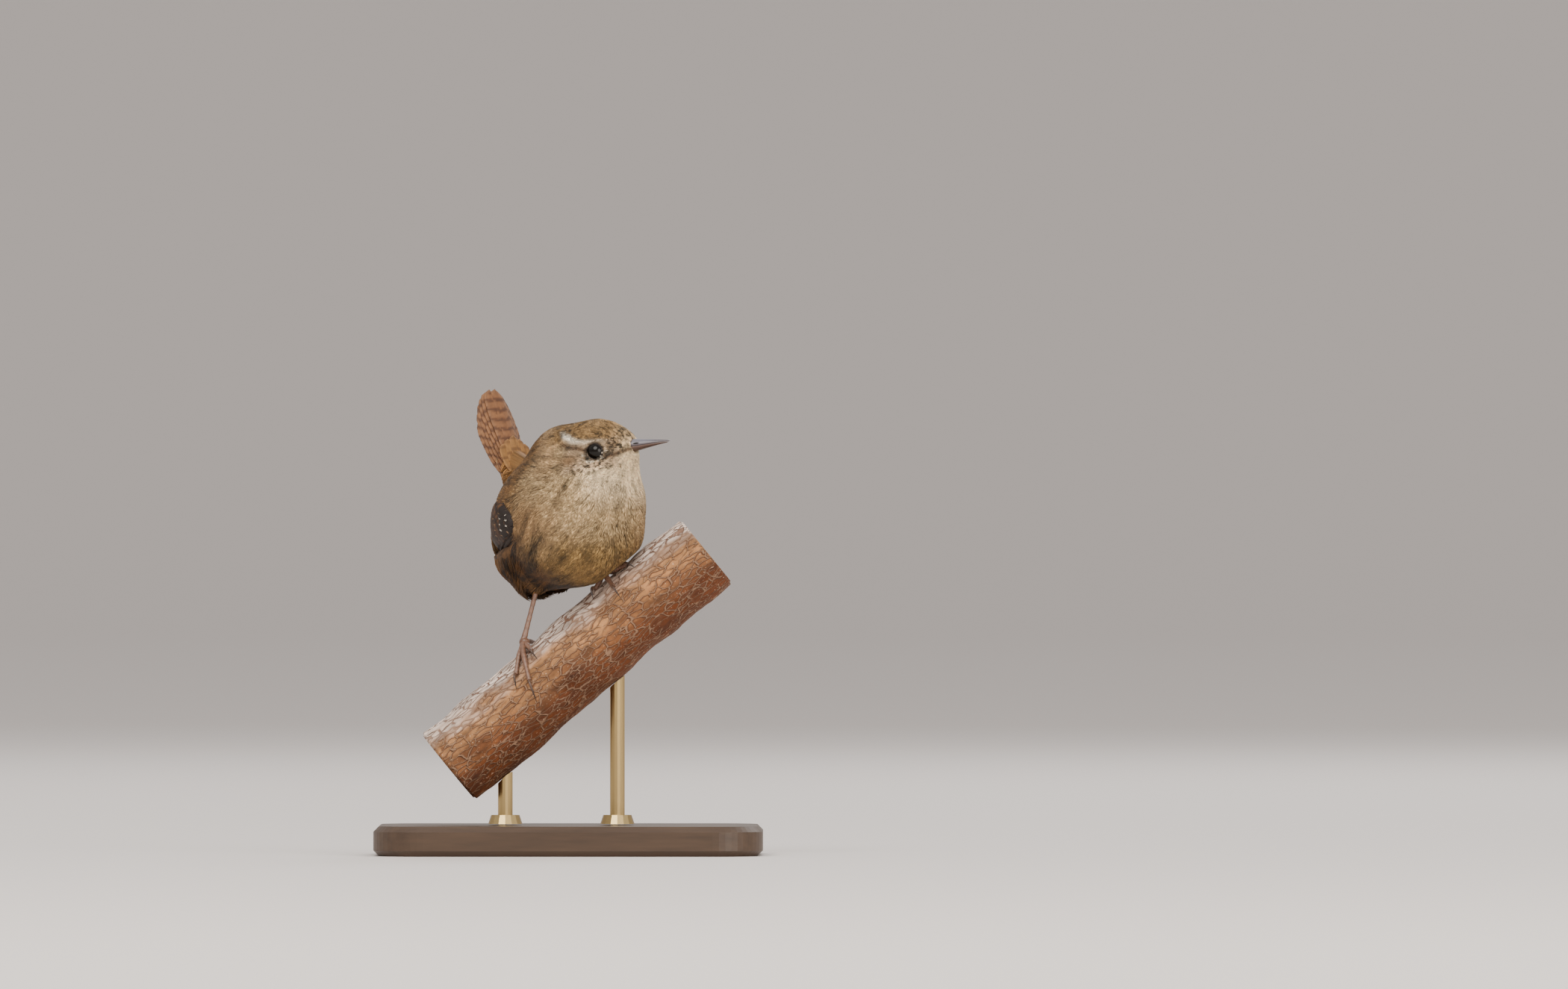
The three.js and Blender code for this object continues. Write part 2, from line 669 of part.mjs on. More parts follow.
// Every piece as a mesh
const materials = {
  plumage: { color: 0x8d7350, roughness: 0.9 },
  throat: { color: 0xb3a07c, roughness: 0.9 },
  wing: { color: 0x5a3c22, roughness: 0.75 },
  tail: { color: 0x855a35, roughness: 0.75 },
  bill: { color: 0x6b6566, roughness: 0.4 },
  eye: { color: 0x0b0908, roughness: 0.08 },
  leg: { color: 0x9a7c6c, roughness: 0.55 },
  claw: { color: 0x5c4d45, roughness: 0.4 },
  bark: { color: 0xa9773f, roughness: 0.85 },
  base: { color: 0x3a332e, roughness: 0.5 },
  rod: { color: 0xb59a62, roughness: 0.3, metalness: 0.9 },
};

function meshOf(name, solid, look) {
  const mesh = new THREE.Mesh(toGeometry(solid), new THREE.MeshStandardMaterial(materials[look]));
  mesh.name = name;
  return mesh;
}

const bird = new THREE.Group();
bird.applyMatrix4(birdPlace);
const wren = new THREE.Group();
wren.add(bird);

const sockets = join([eyeBall(-1, GAP), eyeBall(1, GAP)]);
const behind = sideOf(tailCut, -GAP / 2, 15);
const headBlank = join([cut(wholeFromHead.intersect(sideOf(headCut, GAP / 2)), behind), lidRing(-1), lidRing(1)]);
bird.add(meshOf("head", largest(cut(headBlank, sockets, mouthLine())), "plumage"));
bird.add(meshOf("eye_right", eyeBall(-1), "eye"));
bird.add(meshOf("eye_left", eyeBall(1), "eye"));
const clearOfHead = toSolid(cast(wholeForm, headPlace, 11, GAP));
const upperBill = cut(mandible(1, BILL.upper), clearOfHead, nostril(-1), nostril(1));
bird.add(meshOf("bill_upper", largest(upperBill), "bill"));
bird.add(meshOf("bill_lower", largest(cut(mandible(-1, BILL.lower), clearOfHead)), "bill"));

const neck = wholeFromTorso.intersect(sideBelow(headCut, GAP / 2)).intersect(sideOf(neckCut, GAP / 2));
const wing = wingSolid();
const pocket = wingPocket();
const pockets = join([pocket, toSolid(mirrored(toGeometry(pocket)))]);
bird.add(meshOf("neck", largest(cut(neck, pockets, behind)), "throat"));

const legCuts = { right: thighCut("right"), left: thighCut("left") };
const clearPerch = toSolid(toGeometry(perchSolid(TOE_ROOM)).applyMatrix4(toBird));
const torso = cut(
  wholeFromTorso.intersect(sideBelow(neckCut, GAP / 2)),
  pockets,
  behind,
  sideOf(legCuts.right, -GAP / 2, 12),
  sideOf(legCuts.left, -GAP / 2, 12),
  hollows,
  clearPerch,
);
bird.add(meshOf("torso", largest(torso), "plumage"));
bird.add(meshOf("tail", tailSolid(), "tail"));

bird.add(meshOf("wing_right", wing, "wing"));
const leftWing = meshOf("wing_left", wing, "wing");
leftWing.scale.set(1, -1, 1);
bird.add(leftWing);

for (const side of ["right", "left"]) {
  const foot = FEET[side];
  const thigh = wholeFromTorso.intersect(sideOf(legCuts[side], GAP / 2, 12));
  bird.add(meshOf("thigh_" + side, largest(cut(thigh, hollows, clearPerch)), "plumage"));
  bird.add(meshOf("tarsus_" + side, largest(cut(tarsusSolid(foot), clearOfBird, footBall(foot, TOE.ball + GAP))), "leg"));
  bird.add(meshOf("foot_" + side, largest(cut(footSolid(foot), clearOfBird)), "leg"));
  for (const [name, toe] of Object.entries(foot.toes)) {
    bird.add(meshOf("claw_" + side + "_" + name, clawSolid({ toe }), "claw"));
  }
}

wren.add(meshOf("perch", perchSolid(), "bark"));
wren.add(meshOf("stand_base", baseSolid(), "base"));
ROD.places.forEach((x, i) => {
  wren.add(meshOf("stand_rod_" + (i + 1), rodSolid(x, perchSolid(GAP)), "rod"));
});

export default wren;
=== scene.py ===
"""The looks of a life-size wren with a cocked tail, on a slanting cut branch over a display stand.

Shapes are worked out in millimetres and become metres in build_mesh. The bird's own frame has its origin at
the middle of the torso, +X the way the torso faces, +Y to the bird's left and +Z up.
"""

import bpy
import numpy as np
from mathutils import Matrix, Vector


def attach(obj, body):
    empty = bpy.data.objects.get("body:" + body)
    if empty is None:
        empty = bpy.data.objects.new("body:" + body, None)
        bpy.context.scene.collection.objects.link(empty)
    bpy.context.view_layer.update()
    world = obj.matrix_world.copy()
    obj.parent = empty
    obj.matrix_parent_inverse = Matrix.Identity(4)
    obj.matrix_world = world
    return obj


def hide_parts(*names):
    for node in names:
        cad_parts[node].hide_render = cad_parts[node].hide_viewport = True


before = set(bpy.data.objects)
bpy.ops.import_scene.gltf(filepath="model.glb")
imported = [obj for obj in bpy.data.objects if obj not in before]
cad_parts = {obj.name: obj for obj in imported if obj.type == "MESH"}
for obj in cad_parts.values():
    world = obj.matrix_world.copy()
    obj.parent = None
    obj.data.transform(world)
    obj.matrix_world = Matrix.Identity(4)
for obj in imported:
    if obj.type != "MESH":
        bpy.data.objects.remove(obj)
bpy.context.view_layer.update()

# Driving values, in millimetres and degrees

MM = 0.001
SEED = 7
HEADING = 48.0
TORSO_HEIGHT = 91.0
TORSO_PITCH = 27.0
HEAD = {"at": (9.4, 1.5, 17.4), "size": (21, 17.4, 16.9), "yaw": 26.0, "pitch": 10.0}
EYE = {"ahead": 2.6, "side": 6.6, "below": 0.9, "radius": 2.45}
BILL = {"ahead": 9.0, "below": 0.95, "pitch": 9.0, "length": 12.5, "width": 4.6, "upper": 2.35, "lower": 1.65}
TAIL = {"root": (-15.8, 0, 5), "cock": 59.0, "start": 7.0, "length": 32.6, "width": 5.4, "pairs": 6}
PERCH = {"drop": 40.5, "slope": 39.2, "radius": 11.3, "from": -42.0, "to": 48.0}
SLOPE = np.radians(PERCH["slope"])
# The skin lies under the outer form by the coat's depth, deeper under the wings, and swells on the flanks
COAT_DEPTH = 1.1
WING_HOLLOW = 1.6
FLANK_FLUFF = 2.7
# Room between the branch's even surface and the skin or the coat above it
SKIN_ROOM = 1.6
COAT_ROOM = 0.8


# Small helpers

def vec(*parts):
    return np.array(parts, float)


def unit(v):
    return v / np.maximum(np.linalg.norm(v, axis=-1, keepdims=True), 1e-9)


def dot(a, b):
    return np.sum(a * b, axis=-1)


def mix(a, b, t):
    return a + (b - a) * t


def distance(points, place):
    return np.linalg.norm(points - place, axis=-1)


def bell(*offsets):
    """1 where every offset is 0, falling to nothing where one is past about 2."""
    return np.exp(-sum(offset ** 2 for offset in offsets))


def step(low, high, x):
    t = np.clip((x - low) / (high - low), 0, 1)
    return t * t * (3 - 2 * t)


def aim(yaw, pitch=0.0):
    """The matrix that turns +X by yaw about +Z after raising it by pitch, in degrees."""
    a, b = np.radians(yaw), np.radians(pitch)
    turn = np.array([[np.cos(a), -np.sin(a), 0], [np.sin(a), np.cos(a), 0], [0, 0, 1]])
    rise = np.array([[np.cos(b), 0, -np.sin(b)], [0, 1, 0], [np.sin(b), 0, np.cos(b)]])
    return turn @ rise


BIRD_TURN = aim(-HEADING)
HEAD_TURN = aim(HEAD["yaw"], HEAD["pitch"])
HEAD_AT = vec(*HEAD["at"])


def to_world(points):
    return points @ BIRD_TURN.T + vec(0, 0, TORSO_HEIGHT)


def to_bird(points):
    return (points - vec(0, 0, TORSO_HEIGHT)) @ BIRD_TURN


def on_head(*parts):
    return vec(*parts) @ HEAD_TURN.T + HEAD_AT


def in_head(points):
    return (points - HEAD_AT) @ HEAD_TURN


cock = np.radians(TAIL["cock"])
TAIL_ALONG = vec(-np.cos(cock), 0, np.sin(cock))
TAIL_ABOVE = vec(np.sin(cock), 0, np.cos(cock))
TAIL_LEFT = vec(0, 1, 0)


def on_tail(along, left, above):
    along, left, above = (np.asarray(v, float)[..., None] for v in (along, left, above))
    return vec(*TAIL["root"]) + along * TAIL_ALONG + left * TAIL_LEFT + above * TAIL_ABOVE


def hashed(cells, seed):
    """A number from 0 to 1 for each whole-number cell."""
    mixed = np.sin(cells @ vec(127.1, 311.7, 74.7) + seed * 53.3) * 43758.5453
    return mixed - np.floor(mixed)


def noise(points, size, seed):
    """Smooth noise from 0 to 1 with features of about the size given."""
    place = points / size
    low = np.floor(place)
    part = place - low
    part = part * part * (3 - 2 * part)
    total = 0
    for corner in np.ndindex(2, 2, 2):
        weight = np.prod(np.where(np.array(corner) == 1, part, 1 - part), axis=-1)
        total = total + weight * hashed(low + corner, seed)
    return total


def grain(points, size, seed):
    """Rougher noise of three sizes, from about -1 to 1."""
    return (
        1.0 * (noise(points, size, seed) - 0.5)
        + 0.6 * (noise(points, size / 2.1, seed + 1) - 0.5)
        + 0.4 * (noise(points, size / 4.3, seed + 2) - 0.5)
    )


# The outer form of the plumage: a smooth union of ellipsoids

def lump(at, lengths, turn=None):
    return np.asarray(at, float), np.asarray(lengths, float) / 2, np.eye(3) if turn is None else turn


def depth_in(points, shape):
    at, radii, turn = shape
    near = ((points - at) @ turn) / radii
    ratio = np.linalg.norm(near, axis=-1)
    far = np.maximum(np.linalg.norm(near / radii, axis=-1), 1e-9)
    return ratio * (ratio - 1) / far


def gather(lumps):
    def form(points):
        total = None
        for shape, softness in lumps:
            near = depth_in(points, shape)
            if total is None:
                total = near
            else:
                overlap = np.maximum(softness - np.abs(total - near), 0) / softness
                total = np.minimum(total, near) - overlap * overlap * softness / 4
        return total

    return form


THIGH_LENGTH, THIGH_THICKNESS = 19, 8.4
THIGH_REACH = 8.3


def thigh(heel):
    """A lump that ends just past the heel and leans in towards the torso."""
    end = vec(*heel)
    way = unit(end - end * vec(0.35, 0.95, 0.3))
    side = unit(np.cross(way, vec(0, 0, 1)))
    turn = np.stack([way, side, np.cross(way, side)], axis=1)
    return lump(end - way * THIGH_REACH, (THIGH_LENGTH, THIGH_THICKNESS, THIGH_THICKNESS), turn)


TRUNK = [
    (lump((0, 0, 0), (47, 38, 37), aim(0, TORSO_PITCH)), 0),
    (lump((3.2, -0.6, -5), (36, 36, 27), aim(0, -8)), 3),
    (lump(on_tail(6, 0, -0.2), (21, 11, 9.6), aim(180, TAIL["cock"])), 5),
]
UPPER = [
    (lump((1, -0.6, 14.4), (22.2, 20.2, 20.2)), 4),
    (lump(HEAD["at"], HEAD["size"], HEAD_TURN), 3),
    (lump(on_head(6.6, 0, -0.9), (11, 8.2, 8.6), HEAD_TURN), 4),
    (lump(on_head(5.2, 0, -6.4), (11, 10, 11), HEAD_TURN), 4),
]
HEELS = {"right": (-6.2, -6, -20), "left": (6.8, 8.2, -12.6)}
THIGHS = [(thigh(HEELS["right"]), 3), (thigh(HEELS["left"]), 3)]
trunk_form = gather(TRUNK)
whole_form = gather(TRUNK + UPPER + THIGHS)


def slope_of(form, points):
    nudge = 0.05
    parts = []
    for axis in np.eye(3):
        parts.append(form(points + axis * nudge) - form(points - axis * nudge))
    return np.stack(parts, axis=-1) / (2 * nudge)


def settle(form, points, level, rounds):
    """Moves points to where the form's depth has the level asked for."""
    for _ in range(rounds):
        slope = slope_of(form, points)
        pull = (level - form(points)) / np.maximum(dot(slope, slope), 0.05)
        points = points + slope * np.clip(pull, -2, 2)[..., None]
    return points


def cast(form, centre, ways, level):
    """The points on rays from the centre where the form's depth passes the level."""
    def above(reach):
        points = centre + ways * reach[:, None]
        return form(points) > level(points)

    outside = np.full(len(ways), 52.0)
    for _ in range(50):
        outside = np.where(above(outside - 1) & (outside > 2), outside - 1, outside)
    inside = outside - 1
    for _ in range(14):
        middle = (inside + outside) / 2
        over = above(middle)
        outside = np.where(over, middle, outside)
        inside = np.where(over, inside, middle)
    return centre + ways * inside[:, None]


# The folded wing's outline in the bird's side view: ahead and up
WING_AREA = [
    (1.6, -2.8), (-0.8, 0.6), (-5, 3.4), (-11, 5), (-18, 3.6), (-26, 0), (-26, -9), (-20, -9.6),
    (-13, -9.2), (-6, -8), (-1, -6),
]


def inside_outline(x, y, outline):
    """How far points lie inside a convex-ish outline, in millimetres: below 0 outside."""
    within = np.zeros(x.shape, bool)
    nearest = np.full(x.shape, 1e9)
    for (x0, y0), (x1, y1) in zip(outline, outline[1:] + outline[:1]):
        crosses = ((y0 > y) != (y1 > y)) & (x < (x1 - x0) * (y - y0) / (y1 - y0 + 1e-12) + x0)
        within ^= crosses
        t = np.clip(((x - x0) * (x1 - x0) + (y - y0) * (y1 - y0)) / ((x1 - x0) ** 2 + (y1 - y0) ** 2), 0, 1)
        nearest = np.minimum(nearest, np.hypot(x - x0 - t * (x1 - x0), y - y0 - t * (y1 - y0)))
    return np.where(within, nearest, -nearest)


def under_wing(points):
    depth = inside_outline(points[..., 0], points[..., 2], WING_AREA)
    return np.where(np.abs(points[..., 1]) > 6, depth, -9)


def skin_level(points):
    """The skin sinks under the wings and swells where the flanks are fluffed out below them."""
    fluff = step(-1, -9, points[..., 0]) * step(-5, -12, points[..., 2]) * step(-24, -17, points[..., 2])
    wing = under_wing(points)
    return FLANK_FLUFF * fluff * step(0.5, -2, wing) - COAT_DEPTH - WING_HOLLOW * step(-0.5, 1.5, wing)


# Meshes

def build_mesh(name, points, faces, tint=None, uv=None, world=False):
    """A mesh object from points in millimetres, in the bird's frame unless world is set."""
    placed = points if world else to_world(points)
    mesh = bpy.data.meshes.new(name)
    corners = np.concatenate([f.ravel() for f in faces]).astype(np.int32)
    counts = np.concatenate([np.full(len(f), f.shape[1]) for f in faces])
    starts = np.concatenate([[0], np.cumsum(counts)[:-1]]).astype(np.int32)
    mesh.vertices.add(len(placed))
    mesh.vertices.foreach_set("co", (placed * MM).astype(np.float32).ravel())
    mesh.loops.add(len(corners))
    mesh.loops.foreach_set("vertex_index", corners)
    mesh.polygons.add(len(counts))
    mesh.polygons.foreach_set("loop_start", starts)
    mesh.polygons.foreach_set("use_smooth", np.full(len(counts), True))
    mesh.update(calc_edges=True)
    if tint is not None:
        layer = mesh.attributes.new("Tint", "FLOAT_COLOR", "POINT")
        rgba = tint if tint.shape[1] == 4 else np.concatenate([tint, np.ones((len(tint), 1))], axis=1)
        layer.data.foreach_set("color", rgba.astype(np.float32).ravel())
    if uv is not None:
        layer = mesh.uv_layers.new(name="OFBake")
        spread = uv if len(uv) == len(corners) else uv[corners]
        layer.data.foreach_set("uv", spread.astype(np.float32).ravel())
    thing = bpy.data.objects.new(name, mesh)
    bpy.context.scene.collection.objects.link(thing)
    return thing


def finish_piece(thing, material, slot, *nodes):
    thing.data.materials.append(material)
    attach(thing, "root")
    if nodes:
        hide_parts(*nodes)
    return thing


def grid_faces(rows, columns, closed=False):
    """Quads of a grid of points. closed joins the last column to the first."""
    last = columns if closed else columns - 1
    i, j = np.meshgrid(np.arange(rows - 1), np.arange(last), indexing="ij")
    a = (i * columns + j).ravel()
    b = (i * columns + (j + 1) % columns).ravel()
    return np.stack([a, b, b + columns, a + columns], axis=1)


def fan(hub, ring, turned=False):
    """Triangles from a hub to the points of a closed ring, which face the other way if turned is set."""
    after = np.roll(ring, -1)
    first, second = (after, ring) if turned else (ring, after)
    return np.stack([np.full(len(ring), hub), first, second], axis=1)


def tube(rings):
    """Points and faces of a closed tube over rings of points, with a cap of triangles at each end."""
    rows, columns = rings.shape[:2]
    points = np.concatenate([rings.reshape(-1, 3), [rings[0].mean(0)], [rings[-1].mean(0)]])
    ring = np.arange(columns)
    count = rows * columns
    low = fan(count, ring, turned=True)
    high = fan(count + 1, count - columns + ring)
    return points, [grid_faces(rows, columns, True), low, high]


def merge(parts):
    """One set of points, faces and tints from several."""
    points, tints, quads, tris, offset = [], [], [], [], 0
    for each_points, faces, tint in parts:
        points.append(each_points)
        tints.append(tint)
        for f in faces:
            (quads if f.shape[1] == 4 else tris).append(f + offset)
        offset += len(each_points)
    faces = [np.concatenate(group) for group in (quads, tris) if group]
    return np.concatenate(points), faces, np.concatenate(tints)


def round_rings(path, across_radius, up_radius, up, sides):
    """Rings of points round a path, with their own half width and half height."""
    ahead = unit(np.gradient(path, axis=0))
    across = unit(np.cross(up, ahead))
    rise = np.cross(ahead, across)
    angle = np.linspace(0, 2 * np.pi, sides, endpoint=False)
    return (
        path[:, None]
        + across[:, None] * (across_radius[:, None] * np.cos(angle))[..., None]
        + rise[:, None] * (up_radius[:, None] * np.sin(angle))[..., None]
    )


# Colours of the plumage, from where a point lies on the bird. Red, green and blue are linear.

def shade(red, green, blue):
    """A linear colour from a screen colour given from 0 to 255."""
    return np.power(vec(red, green, blue) / 255, 2.2)


CROWN = shade(148, 118, 78)
NAPE = shade(188, 154, 112)
BACK = shade(132, 98, 58)
RUMP = shade(150, 108, 62)
CREAM = shade(248, 238, 218)
EYE_LINE = shade(82, 58, 38)
EYE_RIM = shade(58, 44, 34)
EAR = shade(112, 84, 54)
LORES = shade(128, 102, 72)
CHEEK = shade(184, 160, 130)
THROAT = shade(236, 212, 172)
BREAST = shade(192, 164, 122)
BELLY = shade(146, 118, 74)
SIDE = shade(158, 126, 88)
FLANK = shade(78, 50, 24)
THIGH_TUFT = shade(146, 112, 68)
VENT = shade(166, 130, 94)


def blend_to(colour, target, amount):
    return colour + (target - colour) * np.clip(amount, 0, 1)[..., None]


# The pale brow and the dark stripe under it, in the head's side view: rows of how far ahead, how high
# and how wide, and for the brow how strong
BROW = (
    [-7, -5.5, -4, -2, 0, 2.4, 5, 9],
    [5.4, 4.6, 3.6, 2.5, 2.1, 2.0, 1.6, 0.6],
    [0.7, 0.95, 1.0, 0.7, 0.55, 0.5, 0.4, 0.3],
    [0.9, 1.0, 1.0, 0.75, 0.45, 0.34, 0.12, 0],
)
STRIPE = (
    [-8, -4, -1, 0.5, 2.6, 4.9, 6.3, 9.1, 11],
    [3.2, 1.3, 0.2, -0.3, -2.0, -3.0, -2.8, -2.0, -1.8],
    [1.0, 0.75, 0.6, 0.5, 0.4, 0.6, 0.6, 0.75, 0.8],
)


def plumage_colour(points):
    """Tint at each point: region by region, and then the fine markings."""
    x, z = points[..., 0], points[..., 2]
    soft = grain(points, 3.5, 3)
    lower = step(-3, -14, z + 3 * soft - 0.2 * (x - 6))
    colour = blend_to(BREAST, BELLY, lower)
    near_side = step(22, 7, x + 0.3 * (z + 6) + 4 * soft) * step(10, -2, z + 3 * soft)
    colour = blend_to(colour, SIDE, 0.9 * near_side * (1 - lower))
    flank = step(9, -6, x + 0.45 * (z + 6) + 5 * soft) * step(5, -6, z + 3 * soft)
    colour = blend_to(colour, FLANK, 0.9 * flank)
    back = step(1.5, -8.5, x - 0.35 * z + 2.4 * soft) * step(-5, 4, z + 0.4 * (-x - 6) + 2 * soft)
    colour = blend_to(colour, BACK, back)
    colour = blend_to(colour, RUMP, step(-13, -19, x + soft) * step(-4, 2, z))
    thighs = np.minimum(depth_in(points, THIGHS[0][0]), depth_in(points, THIGHS[1][0]))
    colour = blend_to(colour, THIGH_TUFT, step(1.0, -1.2, thighs) * step(-14, -18, z) * 0.7)
    fringe = step(1.5, -2, distance(points, on_tail(6, 0, -5)) - 5)
    colour = blend_to(colour, VENT, 0.4 * fringe)
    colour, speckled = head_colour(points, colour, soft)
    return colour * fine_markings(points, speckled, lower, flank, back)[..., None]


def head_colour(points, colour, soft):
    """The head's regions, its brow and its dark stripe. Also how speckled each point is."""
    h = in_head(points)
    ahead, side, up = h[..., 0], np.abs(h[..., 1]), h[..., 2]
    colour = blend_to(colour, THROAT, step(-1, 9, points[..., 2] + soft) * step(-4, 4, ahead + soft))
    head = step(-13, -7, ahead) * step(-9, -5, up)
    sides = head * step(4.2, 6.5, side)
    colour = blend_to(colour, CHEEK, sides * step(-8, -4.5, up) * step(-7, -3, ahead))
    nape = step(-5, -9, ahead + 2 * soft) * step(-9, -2, up + 2 * soft) * step(16, 12, -ahead)
    colour = blend_to(colour, NAPE, 0.9 * nape)
    crown = head * step(1.6, 3.2, up + 0.08 * ahead + 0.6 * soft)
    colour = blend_to(colour, CROWN, crown * (1 - 0.2 * step(6, 9.5, ahead)))
    head_side = head * step(1.5, 3, side)
    lores = bell((ahead - 8) / 2.7, (up - 0.7) / 2.3)
    colour = blend_to(colour, LORES, 0.9 * lores)
    ear = bell((ahead + 3.6) / 3, (up + 2.4) / 2.4)
    colour = blend_to(colour, EAR, 0.85 * ear * head_side)
    line = np.interp(ahead, BROW[0], BROW[1]) + 0.3 * soft
    brow = bell((up - line) / np.interp(ahead, BROW[0], BROW[2]))
    brow = brow * step(-7.6, -6.4, ahead + soft) * np.interp(ahead, BROW[0], BROW[3])
    colour = blend_to(colour, CREAM, brow * head_side)
    low = np.interp(ahead, STRIPE[0], STRIPE[1]) + 0.3 * soft
    stripe = bell((up - low) / np.interp(ahead, STRIPE[0], STRIPE[2])) * step(-8, -5.5, ahead)
    colour = blend_to(colour, EYE_LINE, 0.85 * stripe * head_side)
    ring = np.hypot(ahead - EYE["ahead"], up + EYE["below"])
    colour = blend_to(colour, EYE_RIM, 0.8 * step(2.75, 2.35, ring) * head_side)
    pale_ring = bell((ring - 2.8) / 0.4) * step(0.2, -1.2, up + EYE["below"])
    pale_ring = pale_ring * step(-0.12, 0.12, grain(points, 0.7, 25))
    colour = blend_to(colour, CREAM, 0.75 * pale_ring * head_side)
    mottled = bell((ahead - 1.6) / 4.2, (up + 4.8) / 2.4)
    speckled = np.clip(mottled + lores, 0, 1) * head + 0.2 * crown + 0.1 * head
    return colour, speckled


def drawn_out(points, flow, size, reach, seed):
    """Noise drawn out along the lie of the feathers."""
    shifts = np.linspace(-reach, reach, 5)
    return sum(grain(points + flow * shift, size, seed) for shift in shifts) / 2.4


def fine_markings(points, speckled, lower, flank, back):
    """How bright each point is beside its region's colour."""
    flow = lie(points)
    clump = drawn_out(points, flow, 1.5, 2.6, 11)
    streak = drawn_out(points, flow, 0.6, 1.4, 15)
    speck = grain(points, 0.62, 21)
    along = dot(points, flow)
    bars = np.sin(2 * np.pi * along / 2.3 + 5 * grain(points, 4, 41))
    barred = lower * step(0.1, 0.9, bars) * step(0.0, 0.5, grain(points, 5, 51) + 0.1)
    dark = step(-0.05, 0.22, drawn_out(points, flow, 0.9, 1.2, 31)) * np.maximum(flank, 0.4 * back + 0.12)
    bright = 1 + (0.7 + 0.6 * flank) * clump + 0.8 * streak + 0.25 * grain(points, 6, 35)
    bright = bright + (0.15 + 3.4 * speckled) * speck
    return np.clip(bright - 0.3 * barred - 0.55 * dark, 0.2, 1.9)


BILL_TURN = aim(HEAD["yaw"], BILL["pitch"])
BILL_AT = on_head(BILL["ahead"], 0, -BILL["below"])


def lie(points):
    """The way that the feathers lie: from the bill over the head, and down and back over the body."""
    x, y, z = points[..., 0], points[..., 1], points[..., 2]
    face = on_head(13, 0, -0.5)
    over_head = unit(points - face)
    low = vec(-15, 0, -30)
    high = vec(-24, 0, 7)
    down = unit(low - points + np.stack([0 * x, 0.75 * y, 0 * z], axis=-1))
    rear = unit(high - points + np.stack([0 * x, 0.5 * y, 0 * z], axis=-1))
    dorsal = step(-3, 5, z * 0.8 - x * 0.7 - 3)[..., None]
    body = unit(mix(down, rear, dorsal))
    near_head = step(15, 8, distance(points, HEAD_AT))[..., None]
    way = unit(mix(body, over_head, near_head))
    normal = unit(slope_of(whole_form, points))
    way = unit(way - normal * dot(way, normal)[..., None])
    turn = 0.9 * grain(points, 5, 101) + 0.4 * grain(points, 1.7, 111)
    return way * np.cos(turn)[..., None] + np.cross(normal, way) * np.sin(turn)[..., None]


# Shaders

class Value:
    """A shader socket that takes part in sums."""

    def __init__(self, shader, socket):
        self.shader = shader
        self.socket = socket

    def math(self, kind, *others):
        return self.shader.node("ShaderNodeMath", {"operation": kind}, (self, *others))

    def __add__(self, other):
        return self.math("ADD", other)

    __radd__ = __add__

    def __mul__(self, other):
        return self.math("MULTIPLY", other)

    __rmul__ = __mul__

    def __sub__(self, other):
        return self.math("SUBTRACT", other)

    def __rsub__(self, other):
        return self * -1 + other


class Shader:
    """A material with one Principled shader, and one method that makes any other node."""

    def __init__(self, name, **settings):
        self.material = bpy.data.materials.new(name)
        self.material.use_nodes = True
        self.tree = self.material.node_tree
        self.tree.nodes.clear()
        self.principled = self.tree.nodes.new("ShaderNodeBsdfPrincipled")
        output = self.tree.nodes.new("ShaderNodeOutputMaterial")
        self.tree.links.new(self.principled.outputs["BSDF"], output.inputs["Surface"])
        for key, value in settings.items():
            self.put(key.replace("_", " "), value)

    def put(self, key, value):
        socket = self.principled.inputs[key]
        if isinstance(value, Value):
            self.tree.links.new(value.socket, socket)
        else:
            socket.default_value = value

    def node(self, kind, settings=None, inputs=(), out=0):
        made = self.tree.nodes.new(kind)
        for key, value in (settings or {}).items():
            setattr(made, key, value)
        pairs = inputs.items() if isinstance(inputs, dict) else enumerate(inputs)
        for key, value in pairs:
            if isinstance(value, Value):
                self.tree.links.new(value.socket, made.inputs[key])
            else:
                made.inputs[key].default_value = value
        return Value(self, made.outputs[out])

    def place(self, scale=(1, 1, 1), turn=(0, 0, 0)):
        where = self.node("ShaderNodeTexCoord", out="Object")
        inputs = {"Vector": where, "Scale": scale, "Rotation": turn}
        return self.node("ShaderNodeMapping", inputs=inputs)

    def noise(self, place, scale, detail=3.0):
        inputs = {"Vector": place, "Scale": scale, "Detail": detail, "Roughness": 0.55}
        return self.node("ShaderNodeTexNoise", inputs=inputs)

    def mixed(self, factor, a, b, kind="MIX"):
        settings = {"data_type": "RGBA", "blend_type": kind}
        return self.node("ShaderNodeMix", settings, {0: factor, 6: a, 7: b}, out=2)

    def ramp(self, value, low, high):
        inputs = {"Value": value, "From Min": low, "From Max": high}
        return self.node("ShaderNodeMapRange", inputs=inputs)

    def tint(self, out="Color"):
        """The mesh's own Tint: its Color, or its Alpha where that says something more."""
        return self.node("ShaderNodeAttribute", {"attribute_name": "Tint"}, out=out)

    def bump(self, height, distance):
        inputs = {"Height": height, "Distance": distance, "Strength": 1.0}
        self.put("Normal", self.node("ShaderNodeBump", inputs=inputs, out="Normal"))


def brightness(shader, colour, amount):
    """The colour times a grey amount."""
    grey = shader.node("ShaderNodeCombineColor", inputs={0: amount, 1: amount, 2: amount})
    return shader.mixed(1.0, colour, grey, "MULTIPLY")


def tinted(name, roughness, variation, spot_scale, coat=0.0):
    """The mesh's Tint with fine spots, under a clear coat where one is asked for."""
    shader = Shader(name, Roughness=roughness)
    spots = shader.noise(shader.place(), spot_scale)
    shader.put("Base Color", brightness(shader, shader.tint(), spots * (2 * variation) + (1 - variation)))
    if coat:
        shader.put("Coat Weight", coat)
        shader.put("Coat Roughness", 0.06)
    return shader.material
